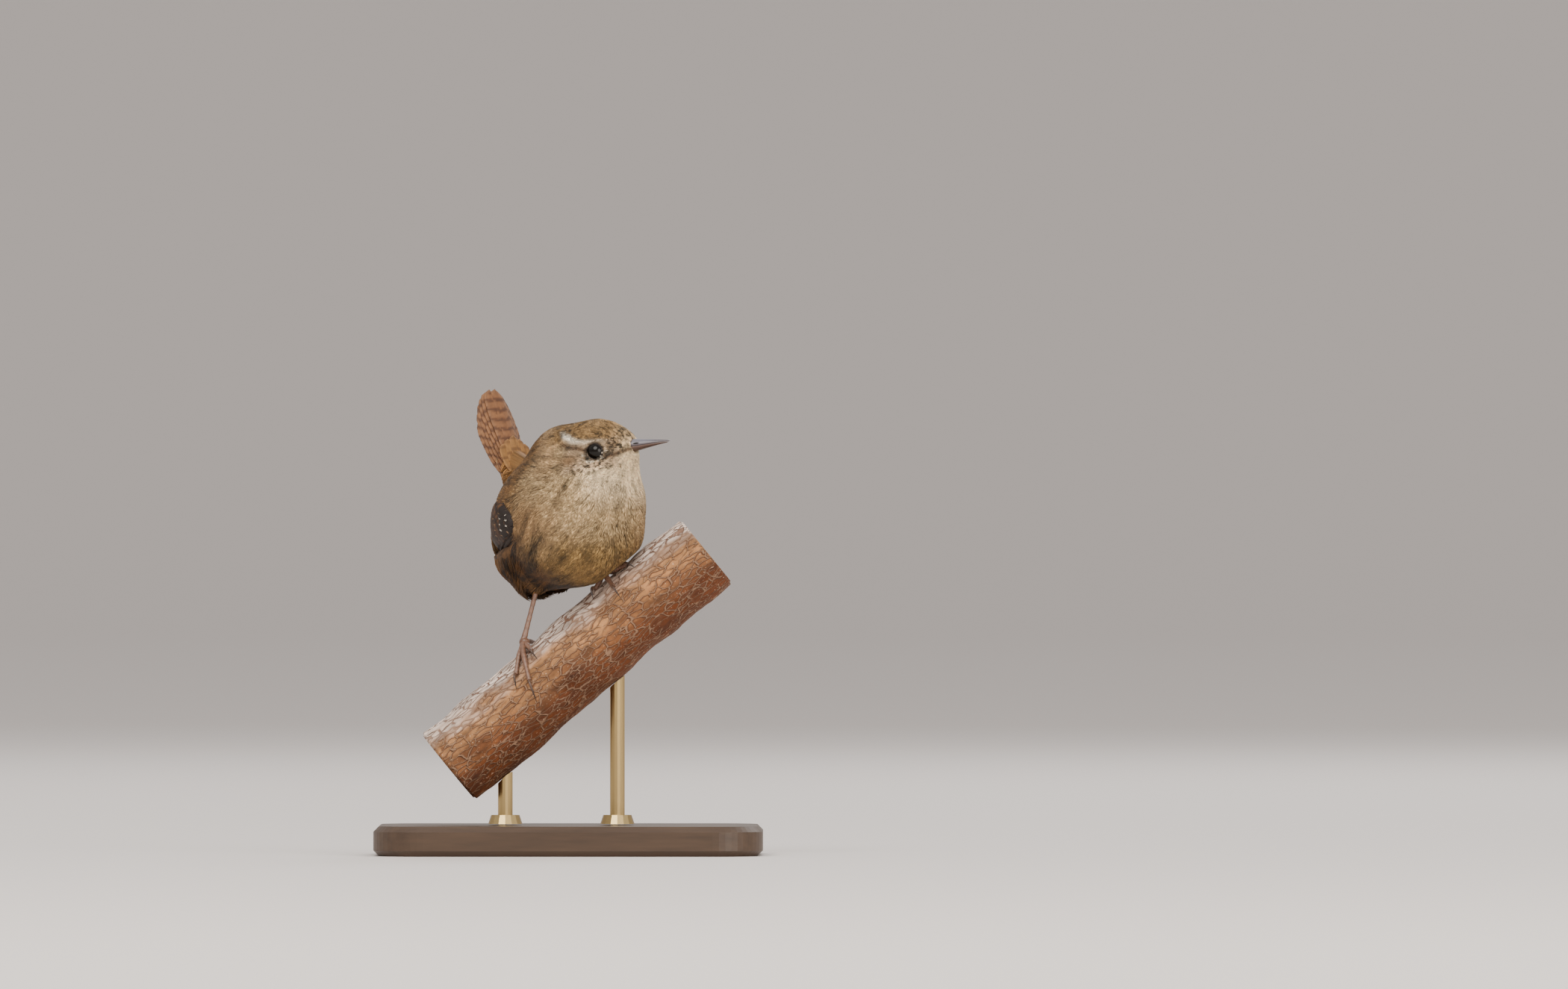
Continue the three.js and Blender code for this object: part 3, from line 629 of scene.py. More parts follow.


# Line colours in the bark: dark cracks, pale ridges that are partly their own colour and partly a painted
# highlight on the raised edge, the painted shadow beside each ridge, and pale specks
BARK_CRACK = (0.16, 0.06, 0.025, 1)
BARK_RIDGE_AND_HIGHLIGHT = (0.52, 0.34, 0.21, 1)
BARK_SHADOW = (0.11, 0.036, 0.012, 1)
BARK_SPECK = (0.62, 0.44, 0.3, 1)


def bark_material():
    """Wavy cells along the branch: dark cracks on its top, where light is painted on the bark, and elsewhere
    pale ridges, partly a painted highlight, with a painted shadow beside them.
    """
    shader = Shader("bark", Roughness=0.85)
    where = shader.place((1, 1, 1), (0, SLOPE, 0))
    inputs = {"Vector": where, "Scale": 210.0, "Detail": 2.5}
    wander = shader.node("ShaderNodeTexNoise", inputs=inputs, out="Color")
    inputs = (wander, (0.003, 0.002, 0.0026), where)
    wavy = shader.node("ShaderNodeVectorMath", {"operation": "MULTIPLY_ADD"}, inputs)
    lines = cell_lines(shader, wavy, (0, 0, 0), 0.085)
    shadow = cell_lines(shader, wavy, (0, 0, 0.00018), 0.15)
    # The Tint's alpha: 0 in the painted light on the branch's top, rising to 1 away from it
    out_of_painted_light = shader.tint("Alpha")
    patches = shader.noise(where, 700.0, 4.0)
    ground = brightness(shader, shader.tint(), patches * 0.7 + 0.65)
    specks = shader.ramp(shader.noise(where, 1900.0, 1.0), 0.66, 0.72) * out_of_painted_light
    marked = shader.mixed(specks * 0.5, ground, BARK_SPECK)
    shaded = shader.mixed(shadow * (out_of_painted_light * 0.55 + 0.25), marked, BARK_SHADOW)
    line_colour = shader.mixed(out_of_painted_light, BARK_CRACK, BARK_RIDGE_AND_HIGHLIGHT)
    shader.put("Base Color", shader.mixed(lines * (out_of_painted_light * -0.52 + 0.85), shaded, line_colour))
    height = lines * (out_of_painted_light * 1.6 - 0.8) + shader.noise(where, 900.0) * 0.3
    shader.bump(height, 0.0006)
    return shader.material


def cell_lines(shader, where, shift, width):
    """Thin lines between cells that are long along the branch, broken off here and there."""
    inputs = {"Vector": where, "Location": shift, "Scale": (0.33, 1, 1)}
    squeezed = shader.node("ShaderNodeMapping", inputs=inputs)
    edges = {"feature": "DISTANCE_TO_EDGE"}
    inputs = {"Vector": squeezed, "Scale": 740.0}
    to_edge = shader.node("ShaderNodeTexVoronoi", edges, inputs, out="Distance")
    gaps = shader.ramp(shader.noise(squeezed, 420.0, 1.0), 0.3, 0.44)
    return shader.ramp(to_edge, width, width * 0.4) * gaps


WOOD_DARK = (0.035, 0.02, 0.012, 1)
WOOD_LIGHT = (0.10, 0.06, 0.035, 1)


def wood_material():
    """Wood with its grain along X."""
    shader = Shader("dark_wood", Roughness=0.42)
    where = shader.place((1, 9, 9))
    rings = shader.noise(where, 60.0, 5.0)
    shader.put("Base Color", shader.mixed(rings, WOOD_DARK, WOOD_LIGHT))
    return shader.material


def plain(name, colour, roughness, metallic=0.0):
    return Shader(name, Base_Color=(*colour, 1), Roughness=roughness, Metallic=metallic).material


PLUMAGE = tinted("plumage", 0.8, 0.22, 1100.0)
VANE = tinted("flight_feathers", 0.72, 0.25, 1500.0)
HORN = tinted("horn", 0.32, 0.12, 900.0, coat=0.25)
SCALES = tinted("leg_scales", 0.45, 0.18, 1600.0, coat=0.1)
EYE_GLASS = Shader("eye", Base_Color=(0.004, 0.003, 0.002, 1), Roughness=0.1, IOR=1.36).material
BARK = bark_material()


# Perch

PERCH_ALONG = vec(np.cos(SLOPE), 0, np.sin(SLOPE))
PERCH_ABOVE = vec(-np.sin(SLOPE), 0, np.cos(SLOPE))
PERCH_FRONT = vec(0, -1, 0)
PERCH_MIDDLE = vec(0, 0, TORSO_HEIGHT - PERCH["drop"])
PERCH_TAPER = 0.006
# Each swelling's place along and around the branch, its height and its spread
KNOTS = [(1, 106, 1, 2.8), (27, 210, 1.3, 4), (-26, 300, 1.2, 4.5)]


def perch_radius(along, around):
    turn = np.radians(around)
    radius = PERCH["radius"] - PERCH_TAPER * along
    radius = radius + 0.22 * np.sin(0.21 * along + 2 * turn) + 0.16 * np.sin(0.4 * along - 3 * turn)
    for at, angle, size, spread in KNOTS:
        turned = np.radians(np.abs((around - angle + 540) % 360 - 180)) * PERCH["radius"]
        radius = radius + size * bell(np.hypot(along - at, turned) / spread)
    return radius


def on_perch(along, around, lift):
    """Places a lift above the branch's surface; around is in degrees from its top towards the front."""
    along, around, lift = np.broadcast_arrays(*(np.asarray(v, float) for v in (along, around, lift)))
    reach = perch_radius(along, around) + lift
    turn = np.radians(around)
    above = reach * np.cos(turn) + 0.7 * np.sin(0.05 * along)
    front = reach * np.sin(turn)
    return (
        PERCH_MIDDLE
        + along[..., None] * PERCH_ALONG
        + above[..., None] * PERCH_ABOVE
        + front[..., None] * PERCH_FRONT
    )


def clear_of_perch(points, room):
    """Lifts points in the bird's frame off the branch, so that the belly ends in a line above it."""
    world = to_world(points) - PERCH_MIDDLE
    above = world @ PERCH_ABOVE
    floor = PERCH["radius"] + room
    spare = above - floor
    lifted = floor + (spare + np.sqrt(spare ** 2 + 0.5)) / 2
    return to_bird(world + (lifted - above)[..., None] * PERCH_ABOVE + PERCH_MIDDLE)


# Skin

SKIN_CENTRE = vec(3, 0.3, 6)
LONGITUDES, LATITUDES = 360, 180
# The skin takes the plumage's colour painted darker, as painted shade under the coat
SKIN_PAINTED_SHADE = 0.8


def skin_ways(u, v):
    """Directions from the skin's centre; u runs round it and v from bottom to top, both 0 to 1."""
    around, height = 2 * np.pi * u, np.pi * (v - 0.5)
    level = np.cos(height)
    return np.stack([level * np.cos(around), level * np.sin(around), np.sin(height)], axis=-1)


def on_skin(u, v):
    return cast(whole_form, SKIN_CENTRE, skin_ways(u, v), skin_level)


def make_skin():
    u, v = np.meshgrid(np.arange(LONGITUDES) / LONGITUDES, np.arange(1, LATITUDES) / LATITUDES)
    points = on_skin(np.append(u.ravel(), [0, 0]), np.append(v.ravel(), [0, 1]))
    points = clear_of_perch(points, SKIN_ROOM)
    _, faces = tube(points[:-2].reshape(LATITUDES - 1, LONGITUDES, 3))
    place = np.arange(len(points) - 2)
    columns = np.append(place % LONGITUDES, [0, 0]) / LONGITUDES
    heights = np.append(place // LONGITUDES + 1, [0, LATITUDES]) / LATITUDES
    uv = []
    for each in faces:
        across = columns[each]
        across = np.where((across.max(1, keepdims=True) > 0.6) & (across < 0.4), across + 1, across)
        uv.append(np.stack([across.clip(0, 1), heights[each]], axis=-1).reshape(-1, 2))
    tint = plumage_colour(points) * SKIN_PAINTED_SHADE
    skin = build_mesh("skin", points, faces, tint, np.concatenate(uv))
    finish_piece(skin, PLUMAGE, "torso", "head", "neck", "torso", "thigh_left", "thigh_right")


# Coat of small feathers. Each is a tuft of narrow three-sided blades.

TUFTS = 17000
BLADES = 5
PIECE_TUFTS = 2400
TUFT_PATCH = 0.003
BLADE_STATIONS = (0.0, 0.4, 0.78, 1.0)
BLADE_WIDTHS = (0.75, 1.0, 0.72, 0)
BLADE_RIDGE = 0.27
# Each blade's tint ring by ring from root to tip: painted shade at the root, under the blades over it, up to
# painted light at the tip
BLADE_PAINTED_SHADING = np.repeat([0.8, 0.93, 1.03, 1.1], [3, 3, 3, 1])
# The first part whose test a root passes takes it: p is the root on the bird and h on the head
COAT_PARTS = {
    "coat_crown": lambda p, h: (h[:, 2] > 1.2) & (h[:, 0] > -9),
    "coat_face": lambda p, h: (h[:, 2] > -8) & (h[:, 0] > -2),
    "coat_nape": lambda p, h: p[:, 2] > 8.5,
    "coat_right": lambda p, h: p[:, 1] < -9,
    "coat_left": lambda p, h: p[:, 1] > 9,
    "coat_front": lambda p, h: p[:, 0] > 0,
    "coat_rear": lambda p, h: p[:, 0] > -99,
}


def from_eyes(points, out):
    """Distance to the nearer eye's middle, taken as far out from the head's middle plane as out says."""
    places = [on_head(EYE["ahead"], side * out, -EYE["below"]) for side in (-1, 1)]
    return np.minimum.reduce([distance(points, place) for place in places])


def tuft_size(points):
    """Length, half width and lift of the tuft at each root."""
    length = mix(2.6, 5.4, step(9, 21, distance(points, HEAD_AT)))
    length = mix(0.95, length, step(1.5, 10, distance(points, on_head(10.5, 0, -1))))
    length = np.minimum(length, mix(0.9, 5.4, step(2.2, 8, from_eyes(points, 8))))
    length = length + 1.4 * step(-12, -20, points[:, 0])
    half = 0.08 + 0.034 * length
    lift = mix(0.8, 1.2, step(1.2, 4, length))
    return length, half, lift


def scatter(count, rng):
    """Roots on the skin, closer together where the tufts are small. Also gives their place on its unwrap."""
    tries = count * 14
    u = rng.random(tries)
    v = np.arcsin(2 * rng.random(tries) - 1) / np.pi + 0.5
    points = on_skin(u, v)
    reach = points - SKIN_CENTRE
    facing = np.abs(dot(unit(reach), unit(slope_of(whole_form, points))))
    length = tuft_size(points)[0]
    wanted = dot(reach, reach) / np.maximum(facing, 0.25) / length ** 1.55
    bill = (points - BILL_AT) @ BILL_TURN
    mouth = (bill[:, 0] > -0.5) & (np.abs(bill[:, 1]) < 1.7) & (np.abs(bill[:, 2]) < 1.5)
    bare = (from_eyes(points, 7.6) < 2.3) | mouth | (under_wing(points) > 2.2)
    tail = points - vec(*TAIL["root"])
    bare |= (dot(tail, TAIL_ALONG) > 12.5) & (np.abs(tail[:, 1]) < 6)
    wanted = np.where(bare, 0, wanted)
    chosen = rng.choice(tries, count, replace=False, p=wanted / wanted.sum())
    return points[chosen], np.stack([u[chosen], v[chosen]], axis=1)


def blade_points(roots, ways, normals, length, half, lift, rng):
    """Corners of each blade: three rings of three points and a tip."""
    count = len(roots)
    across = np.cross(normals, ways)
    fan = rng.normal(0, 0.075, count)[:, None]
    ways = unit(ways + across * fan)
    across = np.cross(normals, ways)
    curl = rng.normal(0, 0.03, count)
    spring = rng.uniform(0.92, 1.06, count)
    rings = []
    for t, wide in zip(BLADE_STATIONS, BLADE_WIDTHS):
        middle = roots + ways * (length * t)[:, None] + across * (curl * length * t * t)[:, None]
        level = skin_level(roots) + lift * t ** 0.75 * spring
        level = np.where(t == 0, skin_level(roots) - 0.15, level)
        middle = settle(whole_form, middle, level, 2)
        if wide:
            side = across * (half * wide)[:, None]
            ridge = normals * (half * wide * BLADE_RIDGE)[:, None]
            rings += [middle - side, middle + side, middle + ridge]
        else:
            rings.append(middle)
    return clear_of_perch(np.stack(rings, axis=1), COAT_ROOM)


BLADE_QUADS = grid_faces(3, 3, True)
BLADE_TRIS = np.array([[6, 7, 9], [7, 8, 9], [8, 6, 9], [0, 2, 1]])


def coat_shares(roots, uv):
    """The name of each piece of the coat and the roots that it holds."""
    head = in_head(roots)
    taken = np.zeros(len(roots), bool)
    shares = []
    for name, belongs in COAT_PARTS.items():
        mine = np.nonzero(belongs(roots, head) & ~taken)[0]
        taken[mine] = True
        mine = mine[np.argsort(uv[mine, 1])]
        pieces = np.array_split(mine, int(np.ceil(len(mine) / PIECE_TUFTS)))
        shares += [(name + "_" + str(n + 1), piece) for n, piece in enumerate(pieces)]
    return shares


def blade_spots(k):
    """Where the corners of a tuft's blade k lie in the tuft's patch of the bake map."""
    spots = np.tile([[0, 0], [1, 0], [0.5, 0.1]], (3, 1)) * [1 / BLADES, 1] + [k / BLADES, 0]
    spots[:, 1] += np.repeat([0, 0.4, 0.8], 3)
    return np.vstack([spots, [(k + 0.5) / BLADES, 1]])


def make_coat():
    rng = np.random.default_rng(SEED)
    roots, uv = scatter(TUFTS, rng)
    length, half, lift = tuft_size(roots)
    normals = unit(slope_of(whole_form, roots))
    ways = lie(roots)
    across = np.cross(normals, ways)
    tuft_shade = rng.normal(1, 0.06, TUFTS).clip(0.8, 1.2)
    for name, mine in coat_shares(roots, uv):
        blades, tints, patches = [], [], []
        for k in range(BLADES):
            offset = (k - (BLADES - 1) / 2) * 1.7 + rng.normal(0, 0.4, len(mine))
            start = roots[mine] + across[mine] * (half[mine] * offset)[:, None]
            size = length[mine] * rng.uniform(0.72, 1.12, len(mine))
            blade = blade_points(start, ways[mine], normals[mine], size, half[mine], lift[mine], rng)
            base = plumage_colour(blade[:, 7])
            glow = tuft_shade[mine] * rng.normal(1, 0.035, len(mine)).clip(0.85, 1.15)
            tints.append(base[:, None] * glow[:, None, None] * BLADE_PAINTED_SHADING[None, :, None])
            blades.append(blade)
            patches.append(uv[mine][:, None] * (1 - TUFT_PATCH) + TUFT_PATCH * blade_spots(k)[None])
        points = np.concatenate(blades)
        index = np.arange(len(points))[:, None, None] * 10
        faces = [(index + BLADE_QUADS).reshape(-1, 4), (index + BLADE_TRIS).reshape(-1, 3)]
        tint = np.concatenate(tints).reshape(-1, 3)
        coat = build_mesh(name, points.reshape(-1, 3), faces, tint, np.concatenate(patches).reshape(-1, 2))
        slot = "head" if name.startswith(("coat_crown", "coat_face")) else "torso"
        finish_piece(coat, PLUMAGE, slot)


# Vanes of the wings and tail

OUTLINE_AT = [0, 0.12, 0.35, 0.8, 0.91, 0.96, 0.985, 1]
OUTLINE_WIDE = [0.35, 0.7, 0.95, 1, 0.86, 0.64, 0.42, 0.08]


VANE_BOW = 0.12


def vane(path, normals, width, thickness, colour, rows=44, columns=9, tilt=0.0):
    """A closed feather vane over a path. colour(along, across) gives a tint, with along in
    millimetres from the tip and across from -1 to 1."""
    t = np.linspace(0, 1, len(path))
    s = np.linspace(0, 1, rows) ** 0.9
    spine = np.stack([np.interp(s, t, path[:, k]) for k in range(3)], axis=1)
    normal = unit(np.stack([np.interp(s, t, normals[:, k]) for k in range(3)], axis=1))
    ahead = unit(np.gradient(spine, axis=0))
    left = unit(np.cross(normal, ahead))
    above = np.cross(ahead, left)
    if tilt:
        a = np.radians(tilt)
        left, above = left * np.cos(a) + above * np.sin(a), above * np.cos(a) - left * np.sin(a)
    half = np.interp(s, OUTLINE_AT, OUTLINE_WIDE) * width / 2
    w = np.linspace(-1, 1, columns)
    length = np.linalg.norm(np.diff(path, axis=0), axis=1).sum()
    camber = -VANE_BOW * width * (w ** 2) * 0.5
    thick = thickness * (0.35 + 0.65 * (1 - np.abs(w) ** 1.5)) / 2
    frays = 0.05 * np.sin(s[:, None] * length * 9.7 + w * 5) * np.abs(w) ** 6
    shaft = 0.09 * bell(w / 0.09)
    top = spine[:, None] + left[:, None] * (half[:, None] * w + frays)[..., None]
    lift = (camber[None] + 0 * s[:, None])[..., None] * above[:, None]
    upper = top + lift + above[:, None] * (thick + shaft)[None, :, None]
    lower = top + lift - above[:, None] * thick[None, :, None]
    rings = np.concatenate([upper, lower[:, ::-1]], axis=1)
    points, faces = tube(rings[:, ::-1])
    along = ((1 - s) * length)[:, None] + 0 * w
    across = w[None] + 0 * along
    tint = colour(along, across)
    # The lower face takes the tint 10% darker, as painted shade on the vane's underside
    both = np.concatenate([tint, tint[:, ::-1] * 0.9], axis=1)[:, ::-1].reshape(-1, 3)
    return points, faces, np.concatenate([both, tint[:1, 0], tint[-1:, 0]])


TAIL_BASE = shade(122, 82, 52)
TAIL_EDGE = shade(140, 100, 68)
TAIL_BAR = shade(72, 44, 28)


TAIL_BAR_SPACING = 2.9


def tail_colour(seed):
    def colour(along, across):
        place = np.stack([along, across * 2.2, 0 * along + seed * 7], axis=-1)
        wander = along + 0.7 * np.abs(across) + 0.9 * grain(place, 1.5, seed)
        bar = np.sin(2 * np.pi * wander / TAIL_BAR_SPACING + seed * 0.35)
        tint = blend_to(TAIL_BASE, TAIL_EDGE, np.abs(across) ** 3 * 0.7)
        tint = blend_to(tint, TAIL_BAR, step(0.0, 0.8, bar) * 0.85)
        tint = blend_to(tint, TAIL_EDGE, step(1.2, 0.2, along) * 0.6)
        return tint * (1 + 0.3 * grain(place * [0.35, 2.2, 1], 0.9, seed + 5))[..., None]

    return colour


def tail_path(start, left, spread, level, length):
    """The bowed quill of a tail feather, spread in degrees from the tail's middle."""
    t = np.linspace(0, 1, 15)
    a = np.radians(spread)
    bow = 0.9 * np.sin(np.pi * t)
    return on_tail(start + t * length * np.cos(a), left + t * length * np.sin(a), level - bow)


def make_tail():
    start = TAIL["start"] - 1.5
    parts = []
    for i in range(TAIL["pairs"]):
        length = TAIL["length"] * (1 - 0.006 * i - 0.0085 * i * i) - start
        for side in (-1, 1):
            seed = 2 * i + (side > 0)
            left, spread = side * (0.6 + 0.42 * i), side * (0.6 + 1.25 * i)
            path = tail_path(start, left, spread, 1.45 - 0.5 * i + side * 0.14, length)
            normals = np.broadcast_to(TAIL_ABOVE + vec(0, side * 0.03 * i, 0), path.shape)
            parts.append(vane(path, normals, TAIL["width"], 0.42, tail_colour(seed)))
    covers = [(0, 10.5), (-1.5, 9.6), (1.5, 9.6), (-2.9, 8.4), (2.9, 8.4)]
    for n, (left, length) in enumerate(covers):
        low = abs(left) * 0.3
        for level, share in ((2.6 - low, 1.0), (low - 2.4, 0.8)):
            path = tail_path(start, left, left * 1.8, level, length * share + 1.5)
            normals = np.broadcast_to(TAIL_ABOVE * np.sign(level), path.shape)
            parts.append(vane(path, normals, 3.6, 0.4, rump_colour(n, level > 0), rows=26, columns=7))
    points, faces, tint = merge(parts)
    finish_piece(build_mesh("tail_feathers", points, faces, tint), VANE, "tail", "tail")


def rump_colour(seed, above):
    base = RUMP if above else VENT

    def colour(along, across):
        place = np.stack([along, across * 2, 0 * along + seed * 5], axis=-1)
        tint = base * (1 + 0.5 * grain(place * [0.3, 2.5, 1], 0.9, seed))[..., None]
        return blend_to(tint, TAIL_BAR, 0.5 * step(0.4, 0.9, np.sin(2 * np.pi * along / 3.1)))

    return colour


WING_DARK = shade(30, 18, 10)
WING_BROWN = shade(56, 36, 20)
WING_PALE = shade(146, 116, 82)
WING_BAR = shade(96, 66, 38)
WHITE_TIP = shade(236, 228, 212)
BAR_SPACING = {"primary": 2.3, "secondary": 2.6, "greater": 2.9}


def wing_colour(kind, seed):
    """Flight feathers are barred along the outer web; coverts are dark with a pale edge or a white tip."""
    def colour(along, across):
        place = np.stack([along, across * 2, 0 * along + seed * 7], axis=-1)
        tint = WING_BROWN if kind in ("secondary", "greater") else WING_DARK
        if kind in BAR_SPACING:
            wander = along + 1.1 * grain(place, 1.4, seed)
            bar = np.sin(2 * np.pi * wander / BAR_SPACING[kind] + 2.4 * seed)
            outer = step(-0.2, -0.75, across)
            tint = blend_to(tint, WING_DARK, step(0.0, 0.6, bar) * 0.9)
            tint = blend_to(tint, WING_BAR, step(0.0, -0.7, bar) * (0.1 + 0.7 * outer))
        if kind in ("median", "greater", "alula"):
            tip = step(1.0, 0.55, along + 0.9 * np.abs(across - 0.3))
            tip = tip * step(-0.15, 0.05, grain(place, 1.1, seed))
            white = kind == "median" and seed % 6 in (1, 2, 3)
            tint = blend_to(tint, WHITE_TIP if white else WING_PALE, tip * 0.95)
        return tint * (1 + 0.35 * grain(place * [0.3, 2.4, 1], 0.9, seed + 3))[..., None]

    return colour


def on_side(ahead, up, level):
    return settle(trunk_form, vec(ahead, -17, up)[None], np.array([level]), 4)


def wing_path(root, slant, length, low, high):
    """The path of a quill that follows the trunk's side, as stiff as a feather."""
    steps = 14
    point = on_side(root[0], root[1], low)
    normal = unit(slope_of(trunk_form, point))
    a = np.radians(slant)
    way = vec(-np.cos(a), 0, -np.sin(a))[None]
    way = unit(way - normal * dot(way, normal)[:, None])
    path = [point]
    for _ in range(steps):
        ahead = path[-1] + way * (length / steps)
        level = mix(low, high, float(step(-1.5, 3.2, under_wing(ahead))[0]))
        held = settle(trunk_form, ahead, np.array([level]), 3)
        stiffness = 0.0 if ahead[0, 1] > held[0, 1] else 0.35
        held = mix(held, ahead, stiffness)
        way = unit(held - path[-1])
        path.append(held)
    path = np.concatenate(path)
    return path, unit(slope_of(trunk_form, path))


def wing_rows():
    """Each row of the wing from under to over: kind, root, slant, length, width, levels and tilt."""
    rows = []
    for i in range(6):
        root = (2.5 - 0.7 * i, -3.2 + 0.55 * i)
        rows.append(("primary", root, 26 - 1.6 * i, 26 - 1.1 * i, 4.6, -2, 0.02 * i, 6))
    for i in range(5):
        root = (-1.5 - 0.4 * i, -2.2 + 1.7 * i)
        rows.append(("secondary", root, 23 + i, 18.2 - 1.2 * i, 4.6, -2, 0.15 + 0.06 * i, 9))
    for i in range(6):
        root = (-1.4 - 0.3 * i, -5.2 + 1.7 * i)
        rows.append(("greater", root, 21 + 2 * i, 9.6, 3.2, -2, 0.3 + 0.1 * i, 9))
    for i in range(6):
        root = (-0.4 - 0.2 * i, -4.6 + 1.6 * i)
        rows.append(("median", root, 21 + 2.4 * i, 7.0, 2.6, -2, 0.5 + 0.1 * i, 8))
    for i in range(6):
        root = (1.8 - 0.3 * i, -3.8 + 1.6 * i)
        rows.append(("median", root, 24 + 3 * i, 6.0, 2.3, -2, 0.6 + 0.1 * i, 6))
    for i in range(2):
        root = (1.6 - 1.2 * i, -6.2 - 0.2 * i)
        rows.append(("alula", root, 26, 9 - i, 2.6, -2, 0.3, 8))
    return rows


def make_wings():
    parts = []
    for n, (kind, root, slant, length, width, low, high, tilt) in enumerate(wing_rows()):
        path, normals = wing_path(root, slant, length, low, high)
        rows = int(14 + length * 1.2)
        parts.append(vane(path, normals, width, 0.34, wing_colour(kind, n), rows=rows, tilt=-tilt))
    points, faces, tint = merge(parts)
    finish_piece(build_mesh("right_wing_feathers", points, faces, tint), VANE, "wing_right", "wing_right")
    flipped = [f[:, ::-1] for f in faces]
    left = build_mesh("left_wing_feathers", points * vec(1, -1, 1), flipped, tint)
    finish_piece(left, VANE, "wing_left", "wing_left")


# Bill, eyes and lids

def on_bill(along, left, up):
    return np.stack([along, left, up], axis=-1) @ BILL_TURN.T + BILL_AT


def mandible(side, depth, colours):
    """Half of the bill, over its middle plane where side is 1 and under it where it is -1."""
    rows, columns = 60, 24
    reach = BILL["length"] - (0 if side > 0 else 0.5)
    t = np.linspace(0, 1, rows)
    taper = mix(1, 0.09, t ** 0.95) * np.sqrt(np.clip((1 - t) / 0.04, 0.1, 1))
    angle = np.linspace(0, np.pi, columns)
    across = BILL["width"] / 2 * taper[:, None] * np.cos(angle)
    rise = (0.04 + (depth + 0.1) * taper[:, None] * np.sin(angle) ** 0.9) * side - 0.2 * t[:, None] ** 3
    rings = on_bill(reach * t[:, None] + 0 * across, across * side, rise)
    points, faces = tube(rings)
    base, tip, edge = colours
    height = np.sin(angle)[None] + 0 * across
    tint = mix(base, tip, step(0.35, 0.95, t)[:, None, None] + 0 * height[..., None])
    tint = blend_to(tint, edge, (1 - height) ** 2 * 0.8)
    tint = tint.reshape(-1, 3)
    return points, faces, np.concatenate([tint, tint[:1], tint[-1:]])


def ball(centre, radii, turn, colour, rows=16, columns=20):
    v = np.linspace(0.02, np.pi - 0.02, rows)
    u = np.linspace(0, 2 * np.pi, columns, endpoint=False)
    shape = np.stack([
        np.sin(v)[:, None] * np.cos(u), np.sin(v)[:, None] * np.sin(u), np.cos(v)[:, None] + 0 * u
    ], axis=-1)
    points, faces = tube(((shape * radii) @ turn.T + centre)[::-1])
    return points, faces, np.broadcast_to(colour, (len(points), 3))


# The bill's colour at its base, at its tip and along its cutting edge
UPPER_HORN = (shade(112, 110, 120), shade(66, 60, 64), shade(76, 62, 60))
LOWER_HORN = (shade(56, 36, 28), shade(60, 40, 32), shade(104, 78, 66))
# The nostrils are small near-black balls on the bill: painted shade in their openings
NOSTRIL = {"along": 3.2, "out": 1.75, "up": 0.7, "radii": (0.85, 0.16, 0.2), "colour": shade(26, 20, 18)}


def make_bill():
    parts = [mandible(1, BILL["upper"], UPPER_HORN)]
    for side in (-1, 1):
        at = on_bill(NOSTRIL["along"], side * NOSTRIL["out"], NOSTRIL["up"])
        parts.append(ball(at, vec(*NOSTRIL["radii"]), BILL_TURN, NOSTRIL["colour"]))
    finish_piece(build_mesh("upper_bill", *merge(parts)), HORN, "bill_upper", "bill_upper")
    lower = mandible(-1, BILL["lower"], LOWER_HORN)
    finish_piece(build_mesh("lower_bill", *lower), HORN, "bill_lower", "bill_lower")


def make_eyes():
    for name, side in (("right", -1), ("left", 1)):
        centre = on_head(EYE["ahead"], side * EYE["side"], -EYE["below"])
        turn = HEAD_TURN @ np.array([[0, 0, 1], [1, 0, 0], [0, 1, 0]])
        points, faces, _ = ball(centre, vec(1, 1, 1) * EYE["radius"], turn, vec(0, 0, 0), 40, 48)
        finish_piece(build_mesh(name + "_eye", points, faces), EYE_GLASS, "eye_" + name, "eye_" + name)
        lid = build_mesh(name + "_eyelid", *lid_parts(side))
        finish_piece(lid, PLUMAGE, "head")


LID = {"out": 7.75, "half_length": 2.2, "half_height": 2.0, "thickness": 0.22, "depth": 0.3}
LID_BEADS = 14
LID_DARK = shade(36, 26, 20)
LID_PALE = shade(214, 200, 180)


def lid_parts(side):
    """The dark rim round an eye, with pale beads along its lower half."""
    loops, sides = 64, 12
    around = np.linspace(0, 2 * np.pi, loops, endpoint=False)
    length, height = LID["half_length"] * np.cos(around), LID["half_height"] * np.sin(around)
    path = np.stack([length, 0 * around, height], axis=-1)
    angle = np.linspace(0, 2 * np.pi, sides, endpoint=False)
    wave = LID["thickness"] + 0.05 * np.sin(around * LID_BEADS)
    rings = (
        path[:, None]
        + unit(path)[:, None] * (wave[:, None] * np.cos(angle))[..., None]
        + vec(0, side, 0) * (LID["depth"] * np.sin(angle))[:, None]
    )
    place = on_head(EYE["ahead"], side * LID["out"], -EYE["below"])
    points = (rings @ HEAD_TURN.T + place).reshape(-1, 3)
    faces = grid_faces(loops + 1, sides, True) % (loops * sides)
    if side > 0:
        faces = faces[:, ::-1]
    below = step(0.2, -0.6, np.sin(around))[:, None]
    beads = step(0.5, 0.9, np.sin(around * LID_BEADS))[:, None]
    tint = mix(LID_DARK, LID_PALE, below * beads * 0.85)
    return points, [faces], np.repeat(tint, sides, axis=0)


# The bark's colours: pale painted light for the branch's top, the bark's own colour for its middle, dark
# painted shade for its lower side, and the colour of the cut ends
BARK_PAINTED_LIGHT = shade(216, 196, 182)
BARK_MIDDLE = shade(162, 116, 76)
BARK_PAINTED_SHADE = shade(94, 50, 20)
CUT_END = shade(206, 176, 138)


